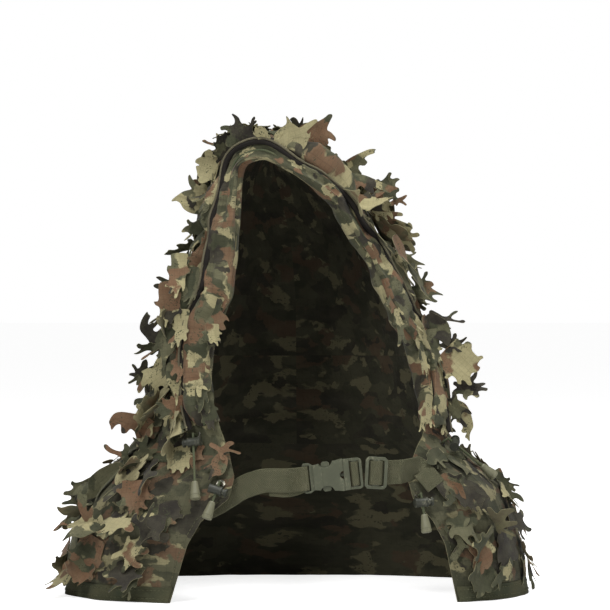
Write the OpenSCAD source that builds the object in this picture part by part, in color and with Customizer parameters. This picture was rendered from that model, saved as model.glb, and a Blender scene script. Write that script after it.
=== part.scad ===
// Ghillie hood and shoulder cape: a two-panel hood with a drawcord face tunnel, a draped cowl,
// an open-fronted shoulder cape, rows of cut fabric leaves, a buckled sternum strap and four
// cord tails. The front faces -Y and the hem lies in the plane Z = 0. Left and right are as seen
// facing the garment, so the right-hand pieces lie at +X, on the wearer's left. Millimetres.

/* [Cape] */
// Half width of the cape at its hem
cape_half_w = 244; // [232:1:256]
// How far the cape's front stands forward of the middle at the hem
cape_front = 128; // [120:1:138]
// How far the cape's back stands behind the middle at the hem
cape_back = 146; // [136:1:156]
// Height of the neck seam, where the cowl joins the cape
neck_seam = 150; // [148:1:152]

/* [Hood] */
// Height where the cowl ends and the hood proper begins
hood_base = 250; // [246:1:254]
// Height of the hood's crown ridge
crown_h = 488; // [484:1:494]
// Half width of the hood at the wearer's ears
ear_half_w = 96; // [92:1:102]

/* [Cloth] */
// Thickness of a cloth panel with its seams and lining
cloth_t = 2.4; // [2:0.1:3]
// Width of the drawcord tunnel round the face
tunnel_w = 30; // [26:1:32]
// Width of the hem binding
binding_w = 16; // [12:1:20]

/* [Leaves] */
// Length of one cut leaf
leaf_len = 44; // [36:1:46]
// Width of one cut leaf
leaf_wid = 34; // [28:1:36]
// Thickness of the leaf cloth
leaf_t = 0.8; // [0.6:0.1:1.2]
// Distance between leaves along a row
leaf_pitch = 43; // [42:1:56]

/* [Sternum strap] */
// Width of the webbing
web_w = 25; // [24:0.5:25.5]
// Thickness of the webbing
web_t = 1.5; // [1.3:0.1:1.6]
// Rise of the closed buckle towards the wearer's left, in degrees
buckle_rise = 6; // [4:1:8]

/* [Cords] */
// Radius of the drawcord
cord_r = 1.25; // [1:0.05:1.3]
// Radius of a cord lock's barrel
lock_r = 4.6; // [4.4:0.1:5]
// Travel of a cord lock's button
button_travel = 3.5; // [2.5:0.5:3.5]
// Length of a bell-shaped cord end
bell_len = 19; // [16:1:20]

/* [Hidden] */
$fn = 48;
// Taken off every Y, so that the garment's overall box is centred on the Z axis.
y_mid = 15.5;

forest = [0.27, 0.29, 0.22];
olive = [0.40, 0.40, 0.29];
straw = [0.55, 0.53, 0.40];
rust = [0.42, 0.28, 0.21];
web_green = [0.30, 0.31, 0.24];
resin = [0.33, 0.34, 0.27];
steel = [0.45, 0.45, 0.42];

// ---------- the body form that hood, cowl and cape all follow ----------
// Each table pairs a nominal height with a value there.
half_widths = [
  [0, cape_half_w], [40, cape_half_w - 4], [84, cape_half_w - 14], [112, 214], [130, 196],
  [141, 182], [150, 172], [160, 163], [172, 157], [207, 147], [259, 133],
  [312, ear_half_w + 20], [364, ear_half_w], [405, ear_half_w - 14],
  [435, 70], [458, 57], [472, 43], [480, 30], [485, 16], [488, 3]];
side_shifts = [
  [0, 0], [312, -2], [364, -6], [405, -12], [435, -18], [458, -23], [475, -27], [488, -30]];
front_depths = [
  [0, cape_front], [40, cape_front], [84, cape_front - 4], [112, 117], [130, 111], [150, 106],
  [172, 103], [364, 103], [405, 102], [435, 100], [458, 97], [475, 94], [484, 91], [488, 88]];
back_depths = [
  [0, cape_back], [40, cape_back], [84, cape_back - 4], [112, 137], [150, 126], [172, 119],
  [207, 117], [259, 122], [312, 126], [364, 125], [405, 120], [435, 112], [458, 102],
  [475, 88], [484, 74], [488, 60]];
// Share of the crown's fall that applies.
fall_shares = [[0, 0], [364, 0], [405, 0.12], [435, 0.3], [458, 0.5], [475, 0.75], [488, 1]];
// X of the left and right edges of the face opening and of the open front.
left_edge_x = [
  [0, -130], [60, -112], [84, -98], [107, -70], [128, -64], [154, -70], [180, -79],
  [207, -87], [233, -89], [259, -88], [285, -83], [313, -67], [352, -63], [412, -60],
  [450, -58], [458, -54], [464, -36]];
right_edge_x = [
  [0, 165], [60, 152], [84, 140], [107, 119], [128, 112], [154, 122], [180, 134],
  [207, 137], [233, 134], [259, 124], [285, 104], [313, 90], [352, 76], [372, 60],
  [412, 37], [435, 9], [450, -10], [458, -24], [464, -34]];
opening_top = 464;
// Above the ears, nominal heights stretch so that the nominal crown lands on crown_h.
ear_level = 364;
crown_level = 488;
crown_peak_y = -25;
// Exponent of the superellipse that each level follows.
roundness = 2.5;

function signed_pow(value, exponent) = value < 0 ? -pow(-value, exponent) : pow(value, exponent);
function unit(v) = v / norm(v);
// Fall of the ridge in front of and behind its peak.
function crown_fall(y) = 0.0016 * pow(y - crown_peak_y, 2) * (y > crown_peak_y ? 1.15 : 0.9);
function true_height(height) =
  height * (height > ear_level
    ? 1 + (crown_h - crown_level) / crown_level * (height - ear_level) / (crown_level - ear_level)
    : 1);
// Point at an angle (0 front, 90 wearer's left, 180 back) and a nominal height.
function body_point(angle, height) =
  let (
    depths = cos(angle) > 0 ? front_depths : back_depths,
    x = lookup(height, half_widths) * signed_pow(sin(angle), 2 / roundness),
    y = -lookup(height, depths) * signed_pow(cos(angle), 2 / roundness))
  [lookup(height, side_shifts) + x,
   y - y_mid,
   true_height(height) - lookup(height, fall_shares) * crown_fall(y)];
// Steps along the surface, 3 degrees round it and a few millimetres up it.
function step_round(angle, height) =
  body_point(angle + 1.5, height) - body_point(angle - 1.5, height);
function step_up(angle, height) = height > 484
  ? body_point(angle, height) - body_point(angle, height - 3)
  : body_point(angle, height + 2) - body_point(angle, max(0, height - 2));
function outward(angle, height) = unit(cross(step_round(angle, height), step_up(angle, height)));
// Point lifted off the form. At the hem the lift is level, which keeps the hem in Z = 0.
function skin_point(angle, height, lift) =
  let (n = outward(angle, height))
  body_point(angle, height) + lift * (height <= 2 ? unit([n[0], n[1], 0]) : n);
// Angle at which the front half of the form has a given X.
function angle_at(x, height) =
  let (share = (x - lookup(height, side_shifts)) / lookup(height, half_widths))
  asin(max(-0.9995, min(0.9995, signed_pow(share, roundness / 2))));
// Above the opening the two sides stop just short of the middle of the front.
function left_edge(height) =
  height >= opening_top ? -0.25 : angle_at(lookup(height, left_edge_x), height);
function right_edge(height) =
  height >= opening_top ? 0.25 : angle_at(lookup(height, right_edge_x), height);

// ---------- solid builders ----------
function quad(a, b, c, d) = [[a, b, c], [a, c, d]];
// The same faces turned over, with their point numbers moved on.
function flipped(faces, shift) = [for (f = faces) [f[0] + shift, f[2] + shift, f[1] + shift]];
// Faces joining a path of point numbers to the same path moved on.
function rim(path, shift) =
  [for (i = [0:len(path) - 2],
        f = quad(path[i], path[i + 1], shift + path[i + 1], shift + path[i])) f];
function spread(from, to, steps) = [for (j = [0:steps]) from + (to - from) * j / steps];

// A thin sheet over the body form, with one row of angles for each height.
module sheet(heights, angles, lift, thickness) {
  columns = len(angles[0]);
  rows = len(heights);
  layer = rows * columns;
  function at(i, j) = i * columns + j;
  outer = [for (i = [0:rows - 2], j = [0:columns - 2],
                f = quad(at(i, j), at(i + 1, j), at(i + 1, j + 1), at(i, j + 1))) f];
  polyhedron(
    [for (off = [lift + thickness, lift], i = [0:rows - 1], j = [0:columns - 1])
      skin_point(angles[i][j], heights[i], off)],
    concat(outer, flipped(outer, layer),
      rim([for (j = [0:columns - 1]) at(0, j)], layer),
      flipped(rim([for (j = [0:columns - 1]) at(rows - 1, j)], layer), 0),
      flipped(rim([for (i = [0:rows - 1]) at(i, 0)], layer), 0),
      rim([for (i = [0:rows - 1]) at(i, columns - 1)], layer)));
}

function tube_faces(count, size) =
  [for (i = [0:count - 2], j = [0:size - 1],
        f = quad(i * size + j, i * size + (j + 1) % size,
                 (i + 1) * size + (j + 1) % size, (i + 1) * size + j)) f];

// A solid through closed rings of equal length.
module loft(rings) {
  size = len(rings[0]);
  last = (len(rings) - 1) * size;
  polyhedron([for (ring = rings) for (p = ring) p], concat(
    tube_faces(len(rings), size),
    [for (j = [1:size - 2]) [0, j + 1, j]],
    [for (j = [1:size - 2]) [last, last + j, last + j + 1]]));
}

// The same, with a channel through it.
module loft_hollow(outer, inner) {
  size = len(outer[0]);
  layer = len(outer) * size;
  last = layer - size;
  walls = tube_faces(len(outer), size);
  loop = [for (j = [0:size]) j % size];
  end_loop = [for (j = loop) last + j];
  polyhedron([for (side = [outer, inner]) for (ring = side) for (p = ring) p], concat(
    walls, flipped(walls, layer),
    flipped(rim(loop, layer), 0),
    rim(end_loop, layer)));
}

module frame_at(origin, x, y, z)
  multmatrix([for (i = [0:2]) [x[i], y[i], z[i], origin[i]]]) children();

// ---------- cape ----------
seam_gap = 0.2;
side_seam = 92;     // angle of each side seam
tape_t = 0.9;
shoulder_tape_t = 0.85;
cape_levels = [40, 62, 84, 98, 112, 121, 130];
cape_heights = concat([0, 20], cape_levels, [141, neck_seam - seam_gap]);
hem_heights = [0, binding_w];
shoulder_heights = concat([binding_w + 1], cape_levels, [141.5]);
neck_heights = [143, neck_seam - seam_gap];

module cape_left_front() color(olive)
  sheet(cape_heights, [for (h = cape_heights) spread(-side_seam, left_edge(h), 18)], 0, cloth_t);

module cape_right_front() color(olive)
  sheet(cape_heights, [for (h = cape_heights) spread(right_edge(h), side_seam, 18)], 0, cloth_t);

module cape_back_panel() color(olive)
  sheet(cape_heights,
    [for (h = cape_heights) spread(side_seam + 0.3, 360 - side_seam - 0.3, 36)], 0, cloth_t);

module hem_binding() color(forest)
  sheet(hem_heights,
    [for (h = hem_heights) spread(right_edge(h) + 1, 360 + left_edge(h) - 1, 72)],
    cloth_t + 0.7, tape_t);

module shoulder_tape(seam)
  sheet(shoulder_heights, [for (h = shoulder_heights) spread(seam - 2.5, seam + 2.5, 2)],
    cloth_t + 0.25, shoulder_tape_t);
module shoulder_tape_right() color(forest) shoulder_tape(side_seam);
module shoulder_tape_left() color(forest) shoulder_tape(360 - side_seam);

module neck_tape() color(forest)
  sheet(neck_heights,
    [for (h = neck_heights) spread(right_edge(h) + 22, 360 + left_edge(h) - 18, 60)],
    cloth_t + 0.8, tape_t);

// ---------- cowl and hood ----------
nape_edge = 179.9;  // angle of a panel's back edge, just short of the middle
cowl_heights = [neck_seam + seam_gap, 160, 172, 190, 207, 228, hood_base - seam_gap];
hood_levels = [270, 290, 313, 338, 364, 385, 405, 422, 438, 450, 459];
hood_heights = concat([hood_base + seam_gap], hood_levels, [opening_top, 470, 476, 480, 484, 487]);
nape_heights = concat([hood_base + 2], hood_levels, [466]);

module left_panel(heights, steps)
  sheet(heights, [for (h = heights) spread(-nape_edge, left_edge(h), steps)], 0, cloth_t);
module right_panel(heights, steps)
  sheet(heights, [for (h = heights) spread(right_edge(h), nape_edge, steps)], 0, cloth_t);
module cowl_left() color(forest) left_panel(cowl_heights, 32);
module cowl_right() color(forest) right_panel(cowl_heights, 32);
module hood_left_panel() color(forest) left_panel(hood_heights, 28);
module hood_right_panel() color(forest) right_panel(hood_heights, 28);

// Tape over the crown ridge, its edges lower down on both sides.
crown_tape_t = 1;
crown_tape_lift = cloth_t + 2.5;
crown_tape_edge = 483;
// Left, ridge and right points of the tape at one station.
function crown_points(angle, lift) =
  let (ridge = body_point(angle, crown_level))
  [skin_point(-angle, crown_tape_edge, lift),
   [lookup(crown_level, side_shifts), ridge[1], ridge[2] + lift + 0.8],
   skin_point(angle, crown_tape_edge, lift)];
module crown_seam_tape() color(forest)
  loft([for (angle = spread(56, 152, 20))
    let (top = crown_points(angle, crown_tape_lift + crown_tape_t),
         under = crown_points(angle, crown_tape_lift))
    [top[0], top[1], top[2], under[2], under[1], under[0]]]);

module nape_seam_tape() color(forest)
  sheet(nape_heights, [for (h = nape_heights) spread(176, 184, 4)], cloth_t + 0.4, tape_t);

// ---------- face tunnel and its drawcord ----------
tunnel_lap = 2;       // reach over the edge into the opening
tunnel_lift = cloth_t + 1.4;
tunnel_depth = 6;
tunnel_side_wall = 3;
tunnel_face_wall = 1;
tunnel_cord_in = 8;   // cord centre from the edge of the opening

// Edge stations, each an angle and a nominal height.
function left_stations(heights) = [for (h = heights) [left_edge(h), h]];
function right_stations(heights) = [for (h = heights) [right_edge(h), h]];
hood_edge = concat(
  left_stations([hood_base + 1, 262, 275, 288, 301, 313, 330, 350, 370, 390, 410, 428, 442, 452,
    459]),
  [for (share = [0.3, 0.7]) [left_edge(463) * (1 - share) + right_edge(463) * share, 463.2]],
  right_stations([458, 450, 440, 428, 412, 396, 380, 366, 352, 334, 316, 300, 286, 272, 262,
    hood_base + 1]));
lower_left_edge = left_stations([186, 194, 207, 220, 233, hood_base - 1]);
lower_right_edge = right_stations([hood_base - 1, 233, 220, 207, 194, 182]);

// At each station: the point, the direction away from the opening, and the outward direction.
function edge_frames(edge) =
  let (points = [for (e = edge) body_point(e[0], e[1])], last = len(points) - 1)
  [for (i = [0:last])
    let (along = unit(points[min(i + 1, last)] - points[max(i - 1, 0)]),
         away = unit(cross(outward(edge[i][0], edge[i][1]), along)))
    [points[i], away, unit(cross(along, away))]];
// A rectangle with cut corners, inset on every side by its walls.
function tunnel_ring(frame, side_wall, face_wall, cut) =
  let (near = side_wall - tunnel_lap, far = tunnel_w - tunnel_lap - side_wall,
       low = tunnel_lift + face_wall, high = tunnel_lift + tunnel_depth - face_wall)
  [for (q = [[near + cut, low], [far - cut, low], [far, low + cut], [far, high - cut],
             [far - cut, high], [near + cut, high], [near, high - cut], [near, low + cut]])
    frame[0] + q[0] * frame[1] + q[1] * frame[2]];

module tunnel(edge) {
  frames = edge_frames(edge);
  loft_hollow(
    [for (f = frames) tunnel_ring(f, 0, 0, 1.4)],
    [for (f = frames) tunnel_ring(f, tunnel_side_wall, tunnel_face_wall, 0.8)]);
}
module cord_run(edge)
  loft([for (f = edge_frames(edge)) [for (k = [0:7])
    f[0] + (tunnel_cord_in + cord_r * cos(45 * k)) * f[1]
         + (tunnel_lift + tunnel_depth / 2 + cord_r * sin(45 * k)) * f[2]]]);

module face_tunnel() color(olive) tunnel(hood_edge);
module face_tunnel_lower_left() color(olive) tunnel(lower_left_edge);
module face_tunnel_lower_right() color(olive) tunnel(lower_right_edge);
module brow_drawcord() color(web_green) cord_run(hood_edge);
module drawcord_run_left() color(web_green) cord_run(lower_left_edge);
module drawcord_run_right() color(web_green) cord_run(lower_right_edge);

// ---------- leaves ----------
leaf_lift = 2.2;  // leaf's root above the cloth
// Half outline of a lobed leaf from stalk to tip: share of its length, share of its half width.
leaf_half = [
  [0, 0.12], [0.16, 0.16], [0.24, 0.62], [0.33, 1], [0.42, 0.5],
  [0.52, 0.42], [0.64, 0.86], [0.72, 0.4], [0.84, 0.34], [1, 0]];
leaf_outline = concat(
  [for (p = leaf_half) [p[1] * leaf_wid / 2, p[0] * leaf_len]],
  [for (i = [len(leaf_half) - 2:-1:0])
    [-leaf_half[i][1] * leaf_wid / 2, leaf_half[i][0] * leaf_len]]);

// Rows of leaves: height, tilt off the surface in degrees, size.
cape_rows = [[134, 22, 0.8], [104, 22, 0.8], [72, 18, 0.8], [44, 18, 0.8]];
cowl_rows = [[244, 24, 0.8], [210, 38, 0.62]];
hood_rows = [[436, 20, 0.9], [396, 20, 0.9], [356, 20, 0.9], [316, 22, 0.9], [284, 24, 0.72]];
// Spheres kept clear for the strap, the cords and the locks: x, y before y_mid, z, radius.
keep_clear = [
  [-104, -100, 150, 34], [-112, -116, 112, 34], [-72, -110, 110, 36], [-40, -115, 125, 30],
  [118, -100, 118, 36], [124, -108, 84, 30], [172, -50, 160, 34], [206, -60, 132, 40],
  [90, -120, 130, 36], [150, -104, 116, 34]];

// One leaf sewn at a point of the surface, hanging down it and tilted off it.
module leaf(angle, height, tilt, size) {
  out = outward(angle, height);
  round_way = unit(step_round(angle, height));
  slope = cross(round_way, out);
  down = unit(slope) * (slope * step_up(angle, height) > 0 ? -1 : 1);
  y = down * cos(tilt) + out * sin(tilt);
  z = out * cos(tilt) - down * sin(tilt);
  frame_at(skin_point(angle, height, cloth_t + leaf_lift), cross(y, z), y, z)
    linear_extrude(leaf_t) scale([size, size]) polygon(leaf_outline);
}

function pitch_angle(angle, height) = leaf_pitch / (norm(step_round(angle, height)) / 3);
// Angles of a row's leaves, about one pitch apart along the cloth.
function row_angles(height, at, end, found = []) =
  at > end ? found : row_angles(height, at + pitch_angle(at, height), end, concat(found, [at]));
function is_clear(point) =
  len([for (k = keep_clear) if (norm(point - [k[0], k[1] - y_mid, k[2]]) < k[3]) 1]) == 0;

module leaf_row(row, start, end, keep_off = true) {
  height = row[0];
  for (angle = row_angles(height, start + 0.4 * pitch_angle(start, height), end))
    if (!keep_off || is_clear(skin_point(angle, height - 14, 10)))
      leaf(angle, height, row[1], row[2]);
}

module leaf_strips_cape_left() color(rust)
  for (r = cape_rows) leaf_row(r, -side_seam + 4, left_edge(r[0]) - 14);
module leaf_strips_cape_right() color(rust)
  for (r = cape_rows) leaf_row(r, right_edge(r[0]) + 10, side_seam - 12);
module leaf_strips_cape_back() color(straw)
  for (r = cape_rows) leaf_row(r, side_seam + 6, 360 - side_seam - 12, false);
module leaf_strips_cowl_left() color(straw)
  for (r = cowl_rows) leaf_row(r, -172, left_edge(r[0]) - 32);
module leaf_strips_cowl_right() color(straw)
  for (r = cowl_rows) leaf_row(r, right_edge(r[0]) + 32, 166);
module leaf_strips_hood_left() color(straw)
  for (r = hood_rows) leaf_row(r, -168, left_edge(r[0]) - 32, false);
module leaf_strips_hood_right() color(rust)
  for (r = hood_rows) leaf_row(r, right_edge(r[0]) + 34, 160, false);
module leaf_strips_crown() color(straw)
  for (side = [-1, 1], angle = [72, 110, 146]) leaf(side * angle, 472, 28, 0.8);

// ---------- sternum strap: buckle ----------
buckle_at = [48, -122, 132.5];
slot_w = web_w + 1.4;
window_x = -18;       // round windows in the socket's upper and lower edges
window_z = 17;
window_r = 7.6;
knuckle_x = 3.4;      // rounded roots of the prongs
knuckle_z = 8.4;
knuckle_r = 2;
knuckle_gap = 0.06;
knuckle_t = 5.2;
knuckle_slot_t = 5.7;
tongue_t = 3;
tongue_x = -23;       // middle of the tongue's rounded tip

// X along the strap towards the wearer's left from the socket's mouth, Y through the buckle's
// thickness, Z across the webbing.
module buckle_frame()
  translate(buckle_at - [0, y_mid, 0]) rotate([0, -buckle_rise, 0]) children();
module plate_xz(t) rotate([90, 0, 0]) translate([0, 0, -t / 2]) linear_extrude(t) children();
module disc_xz(x, z, r, t) translate([x, 0, z]) rotate([90, 0, 0]) cylinder(r = r, h = t, center = true);
module web_slot(x, width, depth)
  translate([x, -depth / 2, -slot_w / 2]) cube([width, depth, slot_w]);
// Closed outline from its upper half, listed in order of x.
function both_halves(half) =
  concat([for (p = half) [p[0], -p[1]]], [for (i = [len(half) - 1:-1:0]) half[i]]);

module buckle_socket() color(resin) buckle_frame() difference() {
  union() {
    plate_xz(9.4)
      polygon(both_halves([[-31, 12.6], [-24, 13.6], [-6, 15.6], [-2, 16.4], [0, 16.4]]));
    plate_xz(5)
      polygon(both_halves([[-42, 13.4], [-40.5, 15.4], [-35, 15.4], [-30.5, 12.6]]));
  }
  translate([-29.5, -2.9, -11.4]) cube([30, 5.8, 22.8]);
  web_slot(-38.8, 4.2, 10);
  for (side = [-1, 1]) disc_xz(window_x, side * window_z, window_r, 12);
  disc_xz(0.4, 0, 4.2, 12);
}

module buckle_plug() color(resin) buckle_frame() difference() {
  union() {
    plate_xz(8.6) polygon(both_halves([[0.3, 16], [6, 16]]));
    plate_xz(4.4) polygon(both_halves([[5.9, 16], [16, 16], [18.6, 14.6], [19.2, 12.5]]));
    translate([tongue_x, -tongue_t / 2, -tongue_t / 2]) cube([24, tongue_t, tongue_t]);
    disc_xz(tongue_x, 0, tongue_t / 2, tongue_t);
  }
  for (x = [6.6, 13.6]) web_slot(x, 3, 12);
  for (side = [-1, 1])
    disc_xz(knuckle_x, side * knuckle_z, knuckle_r + knuckle_gap, knuckle_slot_t);
  for (side = [-1, 1]) plate_xz(knuckle_slot_t) polygon([
    [knuckle_x, side * (knuckle_z - 1.7)], [0, side * (knuckle_z - 2.4)],
    [0, side * (knuckle_z + 1.7)], [knuckle_x, side * (knuckle_z + 1.2)]]);
}

// A sprung arm: a knuckle, a thin arm and the wing that fills the socket's window.
module prong(side) color(resin) buckle_frame() {
  plate_xz(knuckle_t) polygon([
    [knuckle_x, side * (knuckle_z - 1)],
    [-14, side * 6.6], [-25.5, side * 7], [-27.5, side * 8.2], [-25.5, side * 9.6],
    [window_x - 4.2, side * 10.6], [window_x - 4.2, side * 13.6], [window_x - 2.6, side * 15.2],
    [window_x + 2.6, side * 15.2], [window_x + 4.2, side * 13.6], [window_x + 4.2, side * 10.6],
    [-9, side * 9.4],
    [knuckle_x, side * (knuckle_z + 1)]]);
  disc_xz(knuckle_x, side * knuckle_z, knuckle_r, knuckle_t);
}
module prong_upper() prong(1);
module prong_lower() prong(-1);

// ---------- sternum strap: webbing and slider ----------
slider_at = [81.6, -121, 134.2];
slider_fall = 3;      // degrees down towards the wearer's left
wrap_w = web_w - 0.6;
wrap_t = 1;
// Paths in a frame's XY plane: x, y.
socket_loop = [
  [-50, -3.5], [-44, -3.8], [-39.6, -3.8], [-37.2, -3], [-36.2, 0],
  [-37.2, 3], [-39.6, 3.8], [-44, 3.6], [-48, 3]];
plug_loop = [
  [15.1, 2.4], [15.1, -1.4], [14.2, -3], [12.8, -3.5], [10.4, -3.5], [8.9, -3], [8, -1.4],
  [8, 1.6], [8.8, 3], [10.4, 3.5], [14, 3.5], [17, 3.3], [19.8, 3.3]];
slider_loop = [
  [-6.4, 1.4], [-6.2, -0.6], [-4.8, -2.6], [-2.8, -3.3], [0, -3.5],
  [2.8, -3.3], [4.8, -2.6], [6.2, -0.6], [6.4, 1.4]];
// Garment paths before y_mid: x, y, z, lean of the width direction in degrees.
left_path = [
  [-94, -99.5, 96, 32], [-84, -101.5, 101, 30], [-74, -103, 107, 26], [-64, -105, 113, 20],
  [-54, -110, 119, 10], [-44, -115.5, 123, 2], [-34, -120, 126, -3], [-22, -123.4, 126.6, -5],
  [-12, -124.6, 126.4, -6], [-3, -125.2, 126.9, -6]];
right_path = [
  [72, -115.8, 134, 2], [82, -116.2, 134, 3], [92, -116.2, 134.4, 4],
  [101, -116.2, 134.6, 6], [109, -116.2, 135.4, 12]];
// The right web's end on the cape: x, nominal height.
right_end = [
  [124, 133.5], [130, 128.5], [135.5, 122.5], [141.5, 115.5], [147.5, 108.5], [153.5, 101.5]];
right_end_way = unit([6, 0, -7.3]);
right_end_lift = cloth_t + 3.2;

// A ribbon along stations of centre, direction across its width, direction through it.
module ribbon(stations, width = web_w, thickness = web_t)
  loft([for (s = stations)
    [for (q = [[-1, -1], [1, -1], [1, 1], [-1, 1]])
      s[0] + q[0] * width / 2 * s[1] + q[1] * thickness / 2 * s[2]]]);
function web_stations(path) =
  let (last = len(path) - 1, points = [for (p = path) [p[0], p[1], p[2]]])
  [for (i = [0:last])
    let (along = unit(points[min(i + 1, last)] - points[max(i - 1, 0)]),
         lean = [sin(path[i][3]), 0, cos(path[i][3])],
         across = unit(lean - (lean * along) * along))
    [points[i], across, cross(across, along)]];
function loop_stations(path) = web_stations([for (p = path) [p[0], p[1], 0, 0]]);

module slider_frame()
  translate(slider_at - [0, y_mid, 0]) rotate([0, slider_fall, 0]) children();

module strap_web_left() color(web_green) {
  buckle_frame() ribbon(loop_stations(socket_loop));
  translate([0, -y_mid, 0]) ribbon(web_stations(left_path));
}

module plug_web_wrap() color(web_green) buckle_frame()
  ribbon(loop_stations(plug_loop), wrap_w, wrap_t);

module slider_bar_frame() color(resin) slider_frame() difference() {
  plate_xz(4.2)
    polygon(both_halves([[-11.5, 13.5], [-8.5, 16.5], [8.5, 16.5], [11.5, 13.5]]));
  for (x = [-8, 3.2]) web_slot(x, 4.8, 8);
}

module slider_web_wrap() color(web_green) slider_frame()
  ribbon(loop_stations(slider_loop), wrap_w, wrap_t);

module strap_web_right() color(web_green) ribbon(concat(
  web_stations([for (p = right_path) [p[0], p[1] - y_mid, p[2], p[3]]]),
  [for (q = right_end)
    let (angle = angle_at(q[0], q[1]), out = outward(angle, q[1]))
    [skin_point(angle, q[1], right_end_lift), unit(cross(out, right_end_way)), -out]]));

// ---------- drawcord tails ----------
// Each tail: angle and height of its eyelet, angle and height of the point its bell lies over,
// cord length, and how far it stands off the cloth.
tails = [
  [angle_at(-103, 171), 171, angle_at(-102, 104), 104, 57, 9.5],
  [66, 160, 74, 116, 52, 9.5],
  [angle_at(-78, 121), 121, angle_at(-90, 88), 88, 27, 8.5],
  [angle_at(125, 109), 109, angle_at(130, 76), 76, 27, 8.5]];
// Rows of the table.
brow_left = 0;
brow_right = 1;
neck_left = 2;
neck_right = 3;
function cord_len(k) = tails[k][4];
function stand_off(k) = tails[k][5];

// Origin at the cord's top end, Z up the cord, Y away from the cloth.
module tail_frame(k) {
  tail = tails[k];
  top = skin_point(tail[0], tail[1], cloth_t + stand_off(k));
  z = unit(top - skin_point(tail[2], tail[3], cloth_t + stand_off(k)));
  out = (outward(tail[0], tail[1]) + outward(tail[2], tail[3])) / 2;
  y = unit(out - (out * z) * z);
  frame_at(top, cross(y, z), y, z) children();
}
// Origin at the eyelet, lifted off the body form, with Z outward.
module eyelet_frame(k, lift) {
  angle = tails[k][0];
  height = tails[k][1];
  z = outward(angle, height);
  x = unit(cross(z, [0, 0, 1]));
  frame_at(skin_point(angle, height, lift), x, cross(z, x), z) children();
}

// A turned ring with a hole for the cord, set through the cloth.
eyelet_bore_r = 2.4;
eyelet_neck_r = 3.1;
eyelet_flange_r = 4.6;
module eyelet(k) eyelet_frame(k, 0) rotate_extrude() polygon([
  [eyelet_bore_r, -0.9], [eyelet_flange_r, -0.9], [eyelet_flange_r, -0.1],
  [eyelet_neck_r, -0.1], [eyelet_neck_r, cloth_t + 0.3], [eyelet_flange_r, cloth_t + 0.3],
  [eyelet_flange_r, cloth_t + 1.2], [eyelet_bore_r, cloth_t + 1.2]]);
module eyelets() color(steel) for (k = [0:3]) eyelet(k);

// The short length of drawcord that comes out of each eyelet towards the tail.
module cord_exits() color(web_green) for (k = [0:3])
  eyelet_frame(k, cloth_t + 0.1) cylinder(r = cord_r, h = stand_off(k) - 2.1);

module cord(k) color(web_green) tail_frame(k) union() {
  translate([0, 0, -cord_len(k)]) cylinder(r = cord_r, h = cord_len(k));
  sphere(r = 1.9);
}

// A bell-shaped cord end with a bore for the cord. Its outline is radius, height.
cord_in_bell = 5.5;
bell_bore = cord_in_bell + 0.02;
bell_bore_r = cord_r + 0.03;
module bell(k) color(resin) tail_frame(k)
  translate([0, 0, -cord_len(k) - bell_len + cord_in_bell]) rotate_extrude() polygon([
    [0, 0], [4.6, 0], [5.4, 0.8], [5.5, 3.2], [5.1, 3.6], [5.1, 4.2], [5.4, 4.6], [5.2, 6.4],
    [3.4, bell_len - 1.4], [2.6, bell_len], [bell_bore_r, bell_len],
    [bell_bore_r, bell_len - bell_bore], [0, bell_len - bell_bore]]);

// ---------- cord locks ----------
lock_z = -9;          // along the tail
lock_in = 8.2;        // cord to the barrel's closed end
lock_out = 5.8;       // cord to the barrel's open end
lock_wall = 1.2;
lock_floor = 1.3;
button_in = 2.4;      // cord to the button's inner end
button_r = lock_r - lock_wall - 0.06;
spring_turns = 2.5;
spring_r = 2.2;
wire_r = 0.25;
spring_steps = 40;
spring_gap = 0.3;     // wire centre from the floor and from the button
spring_len = lock_in - lock_floor - button_in - 2 * spring_gap;

// Z along the barrel, across the cord. The left brow lock points the opposite way.
module lock_frame(k)
  tail_frame(k) translate([0, 0, lock_z]) rotate([0, k == brow_left ? 90 : -90, 0]) children();

module lock_barrel(k) color(resin) lock_frame(k) difference() {
  union() {
    translate([0, 0, -lock_in]) cylinder(r = lock_r, h = lock_in + lock_out);
    translate([0, 0, lock_out - 1.6]) cylinder(r = lock_r + 0.5, h = 1.6);
    translate([0, 0, -lock_in]) cylinder(r = lock_r + 0.3, h = 1.2);
  }
  translate([0, 0, -lock_in + lock_floor]) cylinder(r = lock_r - lock_wall, h = lock_in + lock_out);
  rotate([0, 90, 0]) cylinder(r = cord_r + 0.35, h = 14, center = true);
}

// The button's slot is longer than the cord is wide by its travel, so the cord clears it
// pressed and released.
module lock_button(k) color(resin) lock_frame(k) difference() {
  union() {
    translate([0, 0, -button_in])
      cylinder(r = button_r, h = button_in + lock_out + button_travel + 0.1);
    translate([0, 0, lock_out + button_travel]) cylinder(r = lock_r, h = 1.8);
  }
  hull() for (z = [0.02, button_travel])
    translate([0, 0, z]) rotate([0, 90, 0])
      cylinder(r = cord_r + 0.05, h = 14, center = true, $fn = 24);
}

// A coil spring between the barrel's floor and the button.
module lock_spring(k) color(steel) lock_frame(k)
  loft([for (i = [0:spring_steps])
    let (turn = 360 * spring_turns * i / spring_steps,
         z = -lock_in + lock_floor + spring_gap + spring_len * i / spring_steps)
    [for (j = [0:5])
      (spring_r + wire_r * cos(60 * j)) * [cos(turn), sin(turn), 0]
        + [0, 0, z + wire_r * sin(60 * j)]]]);

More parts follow.
